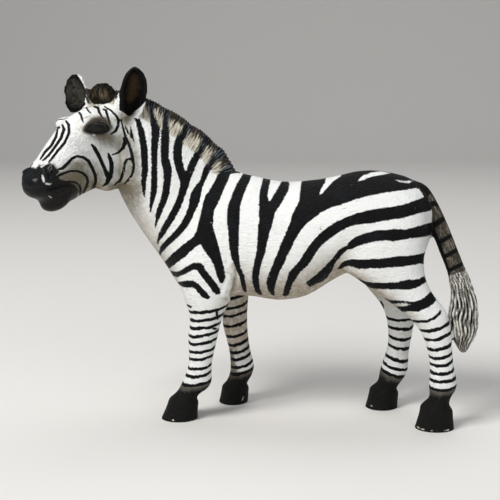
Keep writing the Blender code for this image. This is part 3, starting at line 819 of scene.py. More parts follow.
# Face: eyes under heavy lids, deep nostrils and a closed mouth, sharper on the casting than the rest of it.
EYE = ((84.8, 130.6), (86.8, 127.2), (89.8, 124.6), (93.6, 122.8), (98, 122), (103, 122.6), (107, 124.6),
       (110, 128), (108.8, 130.8), (105.5, 132.6), (101, 133.8), (95, 134), (90, 133), (87, 131.9))
NOSTRIL = ((44, 166, 3), (48, 169, 8), (51, 173, 8), (50, 177, 4))
MOUTH = ((27, 188.5, 1), (33, 191, 1), (42, 190.5, 1), (52, 188, 1), (62, 184.5, 1), (71, 184, 1),
         (78, 187, 1))
EYE_BULGE = 0.30
EYE_RIM_DEPTH = 0.34
LID_FOLD = 0.05
NOSTRIL_HOLLOW = 0.9
NOSTRIL_RIM = 0.16
MOUTH_DEPTH = 0.28
on_face = head_distance < FACE_FIT
front_of_face = on_face & (((places - HEAD_ORIGIN) @ head_forward) > -2.0)
eye_depth = patch(pixels, EYE)
relief += front_of_face * (EYE_BULGE * ease(eye_depth, 0.3, 3.6)
                           - EYE_RIM_DEPTH * np.exp(-(eye_depth / 1.3) ** 2)
                           + LID_FOLD * np.exp(-((eye_depth + 3.0) / 1.4) ** 2))
nostril_depth = stroke(pixels, NOSTRIL)
relief -= front_of_face * (NOSTRIL_HOLLOW * ease(nostril_depth, -1.0, 3.0)
                           - NOSTRIL_RIM * np.exp(-((nostril_depth + 2.0) / 1.5) ** 2))
relief -= front_of_face * MOUTH_DEPTH * np.exp(-(stroke(pixels, MOUTH) / 1.6) ** 2)

places = places + normals * relief[:, None] * (~on_ground)[:, None]
places[:, 2] = np.where(on_ground, GROUND, np.maximum(places[:, 2], GROUND))
normals = settle(places)
pixels = paint_pixels(mirrored(places))
seen_pixels = paint_pixels(places)
x, y, z = places.T


# Stripes of the body: brushed by hand in black over the warm white, broad on the flank and rump, tapering out
# before the belly and throat. A stroke has x, y and width, and a patch an outline, in the photograph's pixels.
NECK_STRIPE_1 = ((134, 113, 3), (138, 121, 5), (141, 131, 6.5), (142.8, 140, 7), (144.3, 150, 7.4),
                 (144.5, 160, 7.2), (145, 170, 6.6), (143.8, 180, 5.6), (143.8, 190, 4), (144.6, 197, 1.5))
NECK_STRIPE_2 = ((151, 98, 7), (151.5, 110, 6.5), (152.5, 118, 7), (155.5, 127, 8.5), (155.5, 134, 8.5),
                 (155, 140, 7.8), (154.4, 150, 6.8), (154.4, 160, 6.2), (154.4, 170, 6.2), (154.2, 180, 6.5),
                 (154, 190, 6.5), (152.2, 200, 5), (151.2, 206, 3.4), (150.5, 212, 1))
NECK_STRIPE_3 = ((165, 100, 8), (166, 112, 8), (166, 122, 7.6), (165.3, 130, 7.8), (165.1, 140, 8.6),
                 (164.8, 150, 8.6), (164.7, 159, 7.8), (166.5, 165, 9.2), (167.8, 171, 8.8),
                 (167.2, 180, 7.6), (166.3, 190, 7.4), (163.8, 200, 7), (159.8, 210, 6.2), (157.8, 216, 5),
                 (156.7, 221, 3), (155, 228, 1))
NECK_STRIPE_4 = ((194, 116, 11), (190, 124, 9.5), (184.5, 132, 8), (180, 139.5, 9), (178, 146, 9),
                 (177.3, 154, 9), (178.3, 162, 8.6), (180.5, 170, 8.5), (183, 177, 9), (185, 183, 9.4),
                 (183, 190, 8), (180, 200, 7.2), (176, 209, 7.4), (170.5, 219, 7), (164.8, 228, 6.6),
                 (161, 235, 5.5), (158.5, 240, 3), (157.4, 245, 1))
NECK_STRIPE_5 = ((216, 128, 11), (209, 137, 10), (203, 146, 7.5), (197, 156, 7.6), (193, 163, 7.6),
                 (190.5, 170, 7.5), (187, 178, 8), (185, 183, 9))
NECK_STRIPE_6 = ((226, 143, 11), (218, 155, 10), (211, 163, 7.5), (206.5, 170, 7), (204.5, 176, 6),
                 (202, 182, 5), (198.5, 188, 8), (196, 194, 10), (194.7, 200, 10.5), (193, 206, 9),
                 (190.5, 212, 7.8), (187.5, 219, 8), (183.5, 226, 7.5), (178, 232.5, 6.5), (172.5, 238, 6.5),
                 (166.5, 243.5, 6), (162.5, 248, 5.5), (160.5, 252, 3), (160, 256, 1))
SHOULDER = ((219, 172), (226, 166), (236, 163), (231, 173), (228, 181), (224, 189), (219.5, 200), (216, 207),
            (214, 212), (213.6, 219), (213, 226), (215, 234), (218, 243), (220, 251), (222, 259), (224, 268),
            (226, 277), (222.5, 284), (219.5, 283), (217, 276), (214, 266), (210.5, 259), (206, 253),
            (202, 247), (200, 244), (195, 247.5), (190, 252), (186, 256.5), (180, 260.5), (175, 264.5),
            (169, 268.5), (162, 268), (163, 263.5), (167, 259), (173, 253), (180, 247), (187, 241.5),
            (192, 238), (195.5, 233), (197.5, 227), (199.3, 219), (201.3, 211), (203, 203), (205, 196),
            (209, 191), (213, 184), (216, 178))
CHEVRON_1 = ((167, 270.5, 2), (171.5, 273.3, 4.6), (177, 274.5, 5.5), (183, 272, 5.5), (189, 268.5, 6),
             (194.5, 266.2, 7), (199.5, 266.8, 8), (204, 274, 7.4), (209, 280, 7.4), (214, 286.5, 7.8),
             (217.2, 291.5, 7))
CHEVRON_2 = ((177, 283, 2), (181, 283.7, 4.6), (187, 284.2, 7.6), (192, 284, 7), (196, 285.8, 6),
             (200, 290, 6.4), (204, 294.5, 6.6), (207.5, 297, 5))
BARREL_1 = ((248, 173, 9), (245, 180, 9.5), (241.5, 186, 10.5), (238.5, 193, 11), (236, 200, 11.2),
            (234, 207, 12.3), (233.3, 215, 13), (233.3, 222, 12.6), (233.5, 230, 11), (233.8, 240, 10.2),
            (234.2, 250, 9.2), (235.3, 257, 8), (236.8, 263, 6), (239, 270, 5), (241.8, 276, 5),
            (243, 282, 4.8), (244.3, 288, 4.4), (246, 293, 3))
BARREL_2 = ((267.5, 176, 7.5), (265.5, 185, 8), (264, 191, 8.4), (263.5, 197, 8.4), (264.5, 205, 11),
            (267, 212, 16.5), (266.3, 220, 14.4), (264.3, 228, 13), (263, 236, 11), (262, 244, 9.8),
            (261, 251, 9), (259.5, 257, 7.8), (257.5, 264, 7.6), (256.3, 270, 7.6), (255.5, 277, 7.2),
            (256, 284, 6.6), (257.5, 290, 5.8), (260.5, 295, 4), (263, 298, 1.5))
BARREL_3 = ((285, 184.5, 9), (283.5, 188.5, 10.5), (281, 193, 10.5), (277.5, 199, 11), (273.5, 205, 11),
            (269.5, 211, 12))
RUMP = ((301, 184), (304, 172), (330, 168), (345, 160), (375, 155), (410, 160), (432, 176), (443, 200),
        (440, 207), (431, 206), (427, 203), (424, 197), (420, 190), (416, 188), (405, 190), (390, 192),
        (375, 194.5), (360, 198), (350, 201.5), (340, 205), (330, 208), (322, 212), (315, 217.5),
        (308, 222.5), (302, 229), (297, 237), (293.5, 243), (291, 249), (287.5, 255), (285.5, 261),
        (283, 266), (280, 271), (278, 277), (276, 283), (274.5, 290), (275.5, 298), (272, 296), (268, 290),
        (266, 283), (267.5, 277), (270.5, 270), (273.5, 262), (277, 254.5), (279.5, 247), (283, 239),
        (287, 230), (290.5, 221), (292, 215), (296, 207), (299, 201), (300, 191))
HAUNCH_1 = ((434, 196), (424, 197), (415, 200.5), (405, 204), (395, 206.3), (385, 207.7), (375, 209),
            (365, 211), (355, 214), (345, 217.5), (335, 222.5), (327, 227.5), (320, 233), (313.5, 240),
            (308.5, 246.5), (304, 253), (300, 260), (295, 266), (289, 272), (286.5, 280), (284, 289),
            (282, 297), (287.5, 299), (290, 291), (293, 283), (296.5, 278), (300.5, 272), (306.5, 267),
            (312, 260), (316, 252.5), (322, 245), (330, 238.5), (338, 233), (345, 229), (350, 226),
            (360, 224.5), (370, 223.5), (380, 221.5), (390, 219.7), (400, 219), (410, 216), (420, 213),
            (430, 211), (436, 206))
HAUNCH_2 = ((436, 221), (425, 224), (415, 227), (405, 229.5), (395, 229), (385, 230), (378, 230), (370, 232),
            (362, 234), (355, 237), (350, 241), (346, 246), (341, 248), (337, 252), (332, 259), (327, 264),
            (321, 270), (313, 277), (306, 282), (309, 287.5), (316, 284), (322, 282), (328, 277), (332, 271),
            (335, 264), (340, 257), (347, 250), (352, 249), (358, 246), (365, 244), (372, 242), (380, 241),
            (387, 240.5), (393, 241.5), (400, 240.5), (410, 238.5), (420, 237.5), (429, 236), (436, 232))
HAUNCH_3 = ((426, 252), (420, 254), (410, 255.5), (400, 256), (390, 257.5), (380, 258.5), (370, 259),
            (360, 259.5), (352, 259), (346, 260), (341, 263.5), (337, 269.5), (341, 269), (346, 266.5),
            (350, 266), (355, 268), (360, 269), (370, 268.5), (380, 268.5), (390, 267.5), (400, 267),
            (410, 265.5), (420, 263.5), (425, 264.5), (427, 258))
HAUNCH_4 = ((424.5, 275.5), (420, 278.5), (415, 279.5), (408, 279), (402, 281), (395, 282.5), (385, 282.5),
            (375, 282.5), (367, 282), (358, 278.5), (361, 283), (367, 287), (373, 288.5), (380, 289),
            (390, 289.5), (400, 289.5), (408, 289.5), (415, 288.5), (420, 286), (424, 283.5), (427, 281.5))
HAUNCH_5 = ((374, 292.5), (383, 297.5), (390, 300), (398, 300.2), (406, 301), (413, 301.5), (419, 300.5),
            (424, 297.5), (428, 294), (431, 291), (436.5, 299.5), (433, 304.5), (427, 308), (419, 312),
            (410, 311.5), (402, 312), (397, 310), (394, 306.5), (402, 306.3), (409, 305), (412, 304.2),
            (405, 303.6), (396, 303.6), (389, 304), (381, 301.5))
HAUNCH_SCUFFS = (
    ((312, 228.5, 0.8), (315.5, 226, 1.4)),
    ((317.5, 229.5, 1), (321, 227, 1.2), (324, 225.5, 0.6)),
    ((320, 231.5, 0.6), (323, 229.5, 1)),
    ((341, 209.5, 0.5), (345, 208, 0.9), (350, 207.4, 0.5)),
    ((230.5, 274, 0.8), (231.5, 279, 1.2), (230.8, 283, 0.6)),
)
CROUP_GAPS = (
    ((326, 178), (330, 174), (342, 172), (341, 176), (334, 180.5), (328, 186.5), (322, 193.5), (319, 196),
     (321, 189), (325, 183)),
    ((357.5, 180.8), (363, 175.5), (372, 172.4), (381, 171.6), (391, 173), (380, 175), (370, 177),
     (363, 180.2)),
    ((396, 179.8), (403, 180.9), (412.5, 180.8), (410, 182.8), (404, 182.6), (398, 181.4)),
)
BODY_STROKES = (NECK_STRIPE_1, NECK_STRIPE_2, NECK_STRIPE_3, NECK_STRIPE_4, NECK_STRIPE_5, NECK_STRIPE_6,
                CHEVRON_1, CHEVRON_2, BARREL_1, BARREL_2, BARREL_3)
BODY_PATCHES = (SHOULDER, RUMP, HAUNCH_1, HAUNCH_2, HAUNCH_3, HAUNCH_4, HAUNCH_5)
BELLY_NARROWING = 6.0

body_black = union(pixels, BODY_STROKES, BODY_PATCHES)
body_black = np.minimum(body_black, -union(pixels, patches=CROUP_GAPS))
scuffs = union(pixels, HAUNCH_SCUFFS)
under_belly = ease(-normals[:, 2], 0.80, 1.0) * ease(z, 29.0, 31.0) * (1 - ease(x, 4.0, 10.0))
body_black -= BELLY_NARROWING * under_belly


# Stripes of the face: thin lines drawn with the point of the brush along the nose, brow, cheek and jaw.
FACE_LINES = (
    ((57.5, 129.5, 2), (56, 137, 3), (51, 146, 3), (45, 152, 3), (40.5, 159, 2)),
    ((62.5, 125, 2), (64, 129.5, 3.4), (61, 138, 3.2), (55, 147, 3), (48.5, 155.5, 2.8), (43, 160.5, 2)),
    ((66, 121, 2), (68.7, 125, 3), (69, 133, 3), (64.5, 143, 3), (58, 150.5, 3), (53, 157, 2.6),
     (49, 162, 2)),
    ((79, 112.5, 2.2), (81, 115, 2.4), (82, 119, 2.2), (83.3, 122.3, 1.6)),
    ((86, 107, 1.6), (88, 110.5, 2), (91, 113.3, 1.4)),
    ((94, 106.5, 2), (98, 107.8, 3), (99.3, 112.5, 2.6), (102.8, 118, 1.4)),
    ((103.5, 109.2, 2), (106, 110.5, 2.6), (107.5, 116, 2.6), (109.5, 122, 2.4), (110.2, 126, 1.2)),
    ((104.5, 106.5, 1.4), (111, 110.5, 2), (116, 115.5, 2.4), (118.6, 120, 3), (118, 126, 3), (115.5, 131, 3),
     (110.5, 134.4, 1.6)),
    ((91.5, 144.5, 2), (94.5, 148, 4), (98.5, 155, 4), (102.5, 164, 3.6), (106, 172, 4.4), (108.5, 178, 5),
     (107, 183, 4), (103, 186, 1.4)),
    ((108.4, 153.5, 2), (109.5, 157, 4), (111.5, 163, 4.6), (111.5, 171, 4.6), (110, 177, 5),
     (107.5, 182, 4)),
    ((121, 119, 1.4), (123, 128, 2), (126, 138, 3), (130, 147, 3), (132.5, 157, 3.4), (133.8, 167, 3.2),
     (132, 175, 2.8), (127.5, 181, 2.6), (122.5, 185, 1.2)),
    ((123.5, 138, 2), (124.8, 143, 4.4), (123, 148, 3.6), (118.5, 152.5, 2.4), (112.5, 154.8, 1.6)),
    ((130.5, 158.5, 2), (126.5, 160, 3), (124.3, 165, 3), (123.4, 172, 3), (120.5, 180, 3),
     (114, 185.3, 1.2)),
    ((125, 126, 1.4), (128, 132, 2), (132, 138, 1.8), (135.8, 144.5, 0.8)),
    ((130.5, 126.5, 1.6), (131.5, 132, 2), (133.5, 138.5, 1.6), (135.8, 144.5, 0.8)),
    ((58, 169.5, 2), (63, 168, 3.4), (68, 163, 3.6), (72, 158.5, 3), (77, 156.3, 2.6), (83, 157.2, 3),
     (88.5, 161, 3.6), (92.3, 168, 3.6), (95.3, 175.5, 3.4), (95.8, 181, 3), (94, 186, 3.4),
     (91.8, 191.5, 3)),
    ((57, 176.5, 3), (63, 173.5, 2.8), (70, 171.2, 2.4), (77, 171, 2.4), (82.5, 173, 2.8), (86.5, 176.5, 2.8),
     (88, 181, 2.6), (86.5, 186.5, 3), (83.5, 192, 3)),
    ((62, 183, 3), (69, 181.6, 2.2), (75, 182.2, 2.2), (79, 185, 2.2), (80.8, 189, 2.4), (80, 194, 2.6)),
)
JAW_LINES = FACE_LINES[10:15]
FAR_LASH = ((53.5, 129.6, 2.4), (59.2, 127.4, 2.6))
lines = np.where(on_face, union(pixels, FACE_LINES), union(pixels, JAW_LINES))
lines = np.maximum(lines, only(on_face, stroke(seen_pixels, FAR_LASH)))
black = only((head_distance > SKIN_FIT) | ~front_of_face, body_black)


# Rings of the legs: thin bands pulled round each leg with the tip of the brush, sagging on the side that is
# seen. Below them the pastern is smoked brown, and the hoof is matt charcoal, chipped white here and there.
RING_SAG = 0.6
RING_WAVER = 0.22
HALF_RING = 0.5
RING_END = 1.1
ABOVE_RINGS = 2.0
ROUND_LEG = 3.5
TOP_TILT_HEIGHT = 27.0
BOTTOM_TILT_HEIGHT = 9.0
# heights of the rings from the top down, and their tilt at the top and bottom; the smoke starts at the last
LEG_RINGS = {
    "fore_left": ((29.4, 27.1, 25.0, 22.8, 20.7, 18.2, 16.3, 13.6, 11.6, 9.2), 0.15, 0.12),
    "fore_right": ((29.4, 26.7, 24.6, 21.6, 18.6, 16.2, 14.1, 12.2, 9.9, 8.1), 0.20, 0.26),
    "hind_left": ((26.0, 23.7, 20.9, 18.6, 16.6, 14.5, 12.4, 10.2), 0.26, 0.07),
    "hind_right": ((24.4, 21.9, 18.9, 16.4, 13.1, 10.9, 8.9), 0.06, -0.30),
}
HOCK_LINE = ((403, 320.5, 1.6), (410, 320.5, 2.4), (418, 321.6, 2.8), (427, 321.3, 3), (434, 318.3, 3),
             (439.5, 313.5, 3), (440.5, 310.5, 1.6))
LEG_MARKS = (((186, 304.5, 1.6), (191, 307, 2.4)), ((216.5, 311.5, 2.6), (217.5, 318.5, 3)),
             ((213.5, 328.5, 2.6), (216.5, 329, 2.6)), ((200, 338.2, 1), (202, 338.6, 1)),
             ((204.5, 337.4, 1.2), (205.5, 338.8, 1.2)))
STIFLE_MARK = ((381, 301.5, 2), (382.5, 305, 2.6), (383.5, 308.5, 1.4))
HOOF_CHIPS = (
    ((430, 430.8, 1), (435, 431.6, 1), (440, 431.8, 0.8)),
    ((369, 405.2, 1.2), (371.5, 406.2, 1.6)),
    ((373.5, 407.2, 1), (374.5, 407.4, 1)),
    ((417, 426.6, 1), (419, 427.8, 1.4)),
    ((421.5, 428.8, 1.2), (424, 429.6, 1.2)),
    ((444.5, 431.2, 1.2), (448.5, 430, 1.6)),
    ((172, 419.6, 1), (173.5, 420.4, 1.4)),
    ((242, 400.6, 0.8), (244, 396, 0.8)),
    ((190, 421.4, 0.8), (193, 421.2, 0.8)),
)

ring_place = np.full(count, -HALF_RING)
ring_gap = np.full(count, 2.2)
sock = np.full(count, -FAR_OFF)
waver = wander(places, 2.2, 7)
for name, (table, side) in LEGS.items():
    rows = smooth_rows(table)
    heights, top_tilt, bottom_tilt = LEG_RINGS[name]
    leg_middle = np.interp(z, rows[:, 0], (rows[:, 1] + rows[:, 2]) / 2)
    leg_reach = np.interp(z, rows[:, 0], (rows[:, 2] - rows[:, 1]) / 2)
    leg_y = side * (STANCE_HALF_WIDTH + np.interp(z, rows[:, 0], rows[:, 3]))
    toward_view = (leg_y - y) / np.interp(z, rows[:, 0], rows[:, 4])
    of_leg = (z < heights[0] + ABOVE_RINGS) & (y * side > 0) & (np.abs(x - leg_middle) < leg_reach + ROUND_LEG)
    tilt = bottom_tilt + (top_tilt - bottom_tilt) * ease(z, BOTTOM_TILT_HEIGHT, TOP_TILT_HEIGHT)
    tilted = z - tilt * (x - leg_middle) - RING_SAG * (1 - toward_view)
    wavering = tilted + RING_WAVER * waver
    upward = np.array(heights)[::-1]
    place = np.interp(wavering, upward, np.arange(len(heights))[::-1].astype(float))
    place -= HALF_RING * ease(wavering, upward[-1], upward[-1] + RING_END)
    place += HALF_RING * ease(-wavering, -upward[0], RING_END - upward[0])
    ring_place[of_leg] = place[of_leg]
    ring_gap[of_leg] = np.interp(wavering, upward, np.gradient(upward))[of_leg]
    sock[of_leg] = (heights[-1] - wavering)[of_leg]
seen = (normals @ -view_back) < 0.2
lines = np.maximum(lines, only((z > 20) & seen & (y < 0), union(pixels, LEG_MARKS)))
lines = np.maximum(lines, only((z > 26.5) & (x > 20), stroke(pixels, HOCK_LINE)))
lines = np.maximum(lines, only(seen, stroke(seen_pixels, STIFLE_MARK)))
chips = union(seen_pixels, HOOF_CHIPS)


# Muzzle, eyes and ears: the nose pad and lips are glossy black, the eyes black under brown lids, and the ears
# dark inside with a black rim, all brushed; thin brown washes lie round them, partly airbrushing and partly
# painted shade on the cheeks, throat and jaw.
NOSE_PAD = ((10, 158), (27, 161), (31.5, 167), (36, 168), (39.5, 164), (43, 166.5), (49, 163), (54, 164),
            (57, 168), (60, 171.5), (57, 175.5), (62, 179.5), (70, 182), (76, 185.5), (78.8, 190.5),
            (77.5, 197), (80, 206), (80, 225), (10, 225))
# painted highlights in white on the nose and the lower lip
NOSE_PAINTED_HIGHLIGHTS = (
    ((42.4, 175.4, 1.6), (43, 178, 2.8), (43.8, 181.4, 2.2)),
    ((46, 183.6, 2), (49, 184.2, 2), (51.5, 183.6, 0.8)),
    ((41, 167.2, 1.4), (44, 165.4, 2), (47.5, 162.8, 1)),
    ((49, 196, 1), (51, 197.6, 1.2)),
)
LID_SHADE = ((85.5, 127, 2), (88.5, 122.8, 3), (93, 119.8, 4), (99, 118.8, 4.4), (104.5, 119.9, 4.2),
             (109, 123, 3.4), (111.5, 127, 2))
# painted highlight in cream on the eye
EYE_PAINTED_HIGHLIGHT = ((93, 134.8, 2), (94.6, 135.2, 1.8))
# x, y and two radii of the olive brown on the lips, and its strength
OLIVE_WASHES = ((71, 190, 10, 8, 0.95), (58, 203, 16, 7, 0.7))
NEAR_EAR_BLACK = ((121, 79), (119.8, 84), (119, 90), (118.6, 100), (119, 111), (124, 113), (130, 117.5),
                  (134, 112), (140, 107.5), (147, 100), (152, 90), (152, 78), (146, 64), (137, 60),
                  (127, 64), (121, 74))
NEAR_EAR_BROWN = ((127, 79), (124.5, 88), (124, 99), (127, 106), (134, 104), (140, 97), (142.5, 87),
                  (141, 77), (136, 71), (131, 72.5))
FAR_EAR_BLACK = ((65, 74), (61, 86), (60.5, 95), (64, 104), (70, 112), (76, 113), (82, 109.5), (86, 104.5),
                 (86.3, 97), (85.5, 89.5), (83, 83.5), (80, 78.5), (76.5, 73.5), (75, 68), (68, 68))
FAR_EAR_GREY = ((68.5, 80), (66.5, 87), (66, 94), (68, 101.5), (71.5, 106.5), (75.5, 108.5), (80, 107),
                (84, 103), (84.8, 97), (83.8, 90), (81, 84), (78, 80), (73, 78.5))
FORELEG_SHADE_STRENGTH = 0.95
FORELEG_SHADE = ((230.5, 350, 2), (231.5, 358, 4), (232, 366, 6), (233, 374, 9), (234, 378, 10))
FORELOCK_TAN_SPOT = ((91, 94, 4), (98, 92, 6), (103, 94, 7), (106, 98, 4))
EAR_FIT = 0.45
EAR_TIP_BLACK = 0.78
EAR_TIP_SHARPNESS = 30
EAR_TIP_WAVER = 1.5
# x, y and two radii of each brown wash, and its strength; the washes are partly brown airbrushing round the
# eyes and muzzle and partly painted shade on the cheeks, throat and jaw
BROWN_WASHES_AND_SHADE = (
    (99, 119, 12, 3.5, 0.8), (87, 129, 4, 4, 0.6), (104, 137, 14, 4.5, 0.85), (109, 143, 12, 6, 0.6),
    (112, 128, 3, 5, 0.45), (78, 165, 15, 7, 0.75), (80, 177, 14, 9, 0.92), (92, 187, 8, 7, 0.75),
    (66, 176, 10, 7, 0.85), (72, 181, 10, 5, 0.9), (79, 187, 6, 7, 0.9), (100, 176, 8, 12, 0.5),
    (86, 153, 12, 3, 0.25), (118, 172, 9, 12, 0.45), (127, 120, 6, 8, 0.6), (132, 113, 7, 4, 0.75),
    (128, 168, 6, 14, 0.45), (128, 190, 16, 9, 0.55), (118, 187, 14, 5, 0.6), (138, 182, 9, 14, 0.4),
    (135, 205, 12, 14, 0.35), (121, 146, 8, 12, 0.35), (58, 122, 6, 5, 0.5), (66, 113, 8, 4, 0.4),
    (92, 102, 8, 3.5, 0.5), (44, 160, 9, 3, 0.25), (130, 140, 6, 16, 0.45), (137, 160, 5, 20, 0.5),
    (76, 144, 12, 7, 0.25), (98, 142, 30, 22, 0.10), (130, 175, 9, 30, 0.3), (122, 198, 20, 12, 0.3),
)


def blush(pixels, washes):
    """Return how strong the soft washes are at each pixel, from 0 to 1."""
    bare = np.ones(len(pixels))
    for across, down, wide, high, strength in washes:
        spread = ((pixels[:, 0] - across) / wide) ** 2 + ((pixels[:, 1] - down) / high) ** 2
        bare *= 1 - strength * np.exp(-spread)
    return 1 - bare


muzzle = only(on_face, patch(pixels, NOSE_PAD))
eye = only(front_of_face, patch(pixels, EYE))
nostril = only(front_of_face, stroke(pixels, NOSTRIL))
lid = only(front_of_face, stroke(pixels, LID_SHADE))
painted_highlights = only(on_face, union(pixels, NOSE_PAINTED_HIGHLIGHTS))
painted_highlights = np.maximum(painted_highlights, only(front_of_face, stroke(pixels, EYE_PAINTED_HIGHLIGHT)))
olive = blush(pixels, OLIVE_WASHES) * front_of_face
# brown washes on the face, partly airbrushing and partly painted shade; painted shade down the far foreleg below
brown_wash_and_shade = blush(pixels, BROWN_WASHES_AND_SHADE) * ease(-x, 36.0, 42.0)
on_far_foreleg = (y > 1.0) & (x < -8.0)
shade = FORELEG_SHADE_STRENGTH * ease(stroke(seen_pixels, FORELEG_SHADE), -4.0, 2.0)
brown_wash_and_shade = np.maximum(brown_wash_and_shade, np.where(on_far_foreleg & (z < 22.0), shade, 0.0))
ear_black = np.full(count, OUTSIDE)
ear_brown = np.full(count, OUTSIDE)
ear_grey = np.full(count, OUTSIDE)
near_ears = (x < -38) & (z > 78)
for name, ear, outline, lining_outline, lining in (
        ("near_ear", NEAR_EAR, NEAR_EAR_BLACK, NEAR_EAR_BROWN, ear_brown),
        ("far_ear", FAR_EAR, FAR_EAR_BLACK, FAR_EAR_GREY, ear_grey)):
    base, tip_way, opening, share, _ = ear
    of_ear = np.zeros(count, bool)
    of_ear[near_ears] = distance_to(tree_of(name), places[near_ears]) < EAR_FIT
    ear_up, ear_out = ear_axes(tip_way, opening)
    inside_cup = (normals @ ear_out > -0.15) | (normals @ view_back > 0.1)
    from_base = places - np.array(base)
    up_ear = from_base @ ear_up / (EAR_LENGTH * share)
    back_tip = (up_ear - EAR_TIP_BLACK) * EAR_TIP_SHARPNESS + EAR_TIP_WAVER * wander(places, 1.5, 5)
    black_outline = patch(seen_pixels, outline)
    ear_black[of_ear] = np.where(inside_cup, black_outline, back_tip)[of_ear]
    in_front = near_ears & (normals @ view_back > -0.1) & (from_base @ ear_out > -1.5) & (up_ear < 0.6)
    at_mouth = only(in_front, black_outline)
    ear_black = np.where(at_mouth > 0, at_mouth, ear_black)
    lining[of_ear & inside_cup] = patch(seen_pixels, lining_outline)[of_ear & inside_cup]
    brown_wash_and_shade[of_ear] *= np.where(inside_cup, 0.4, 0.2)[of_ear]
black[ear_black > OUTSIDE] = OUTSIDE
lines[ear_black > OUTSIDE] = OUTSIDE
forelock_tan = stroke(seen_pixels, FORELOCK_TAN_SPOT)


# Tail: smoky brown between black bands down to the tuft, which is drybrushed grey over black.
TAIL_BANDS = (
    ((428, 206, 6), (434, 203, 5), (442, 206, 4)),
    ((430, 227, 6), (436, 224, 6), (443, 219, 5), (450, 214, 4)),
    ((436, 243, 5), (442, 240.8, 5), (448, 237.5, 4.4), (455, 233, 4)),
    ((442, 258, 4.4), (448, 255, 4.6), (455, 251, 4.4), (462, 246.5, 4)),
    ((446, 271.5, 4.4), (452, 269, 4.2), (459, 265.6, 4.2), (467, 260.5, 4)),
    ((448, 285, 6), (454, 282.5, 6), (461, 280, 6), (470, 276, 6)),
    ((429, 214, 4), (431, 226, 4.5), (437, 240, 4.5), (443, 256, 4), (447.5, 270, 4), (449.5, 284, 4)),
)
TAIL_ROOT_BLACK = 6.5
COMBED_TAIL_GIRTH = 1.7
tail_band = only(on_tail, np.maximum(union(seen_pixels, TAIL_BANDS), TAIL_ROOT_BLACK - tail_along))

comb = np.zeros((count, 3))
comb[combed] = np.stack((strand, 0.13 * hair_height, 0.2 * hair_side), axis=1)[combed]
curl = 0.45 * wander(places * (1, 1, 0.45), 2.2, 9)
round_tail = np.stack((COMBED_TAIL_GIRTH * np.cos(tail_angle + curl),
                       COMBED_TAIL_GIRTH * np.sin(tail_angle + curl),
                       0.11 * tail_along + 40), axis=1)
comb[on_tail] = round_tail[on_tail]
forelock_comb = np.stack((across_forelock + 80, 0.2 * (z - FORELOCK[2]), 0.2 * y), axis=1)
comb[forelock_mask > 0] = forelock_comb[forelock_mask > 0]
swayed_height = hair_height + 0.5 * sway
mane_paint = combed * ease(swayed_height, -1.7, -0.5) * (mane_distance < 1.6) * (head_distance > 0.3)
hair_tip = combed * ease(swayed_height, 0.6, 4.4)


# The paint on the skin, kept at its points: how far inside each colour they lie, and how hollow the skin is,
# for painted shade in the hollows. The belly and the far foreleg are tanned as painted shade.
HOLLOW_SMOOTHING = 4
HOLLOW_STRENGTH = 6.0
BELLY_SHADE_STRENGTH = 0.9
FAR_FORELEG_SHADE_STRENGTH = 0.85
PAINT_LIMIT = 12.0
lean = around(places) - places
edge_squares = ((places[edge_ends[:, 0]] - places[edge_ends[:, 1]]) ** 2).sum(1)
spacing = np.bincount(edge_ends[:, 0], edge_squares, count) + np.bincount(edge_ends[:, 1], edge_squares, count)
spacing /= neighbours
bend = (lean * normals).sum(1) / np.maximum(spacing, 1e-3)
bend = smoothed(np.clip(bend, -1, 1)[:, None], np.ones(count), HOLLOW_SMOOTHING)[:, 0]
# painted shade: the skin is darkened where it bends inward, where shade gathers in the hollows
painted_hollow_shade = np.clip(bend * HOLLOW_STRENGTH, 0.0, 1.0)
# painted shade: tan on the skin that faces down under the belly, and on the far foreleg
painted_shade_tan = BELLY_SHADE_STRENGTH * ease(-normals[:, 2], 0.0, 0.85) * ease(z, 24.0, 32.0)
leg_shade_tan = FAR_FORELEG_SHADE_STRENGTH * ease(z, 9.0, 17.0)
painted_shade_tan = np.maximum(painted_shade_tan, np.where(on_far_foreleg & (z < 38.0), leg_shade_tan, 0.0))
ridge = np.where(combed, mane_wave, np.where(on_tail, tuft_wave, forelock_wave * 1.3))
paints = {
    "black": black, "lines": lines, "scuffs": scuffs, "chips": chips,
    "ring_place": ring_place, "ring_gap": ring_gap, "sock": sock,
    "muzzle": muzzle, "painted_highlights": painted_highlights, "eye": eye, "nostril": nostril, "brown_wash_and_shade": brown_wash_and_shade,
    "ear_black": ear_black, "ear_brown": ear_brown, "ear_grey": ear_grey,
    "tail": on_tail * ease(tail_along, 1.0, 3.0), "tail_band": tail_band, "tuft": in_tuft,
    "mane": mane_paint, "hair_tip": hair_tip, "forelock": forelock_mask, "forelock_tan": forelock_tan,
    "painted_hollow_shade": painted_hollow_shade, "olive": olive, "lid": lid, "painted_shade_tan": painted_shade_tan, "ridge": ridge,
}
for name, values in paints.items():
    layer = skin_mesh.attributes.new(name, "FLOAT", "POINT")
    layer.data.foreach_set("value", np.clip(values, -PAINT_LIMIT, PAINT_LIMIT).astype(np.float32))
comb_layer = skin_mesh.attributes.new("comb", "FLOAT_VECTOR", "POINT")
comb_layer.data.foreach_set("vector", comb.astype(np.float32).ravel())


# Finish: semi-matt enamel over the whole casting. White first, then the washes and the painted shade of the
# hollows, belly and face, black by brush with ragged edges and a painted sheen, white painted highlights,
# drybrushed hair, and last the gloss of the eyes and nose.
WHITE = (0.82, 0.83, 0.815, 1)
CREAM = (0.62, 0.585, 0.51, 1)
BROWN_WASH_AND_SHADE = (0.125, 0.103, 0.054, 1)
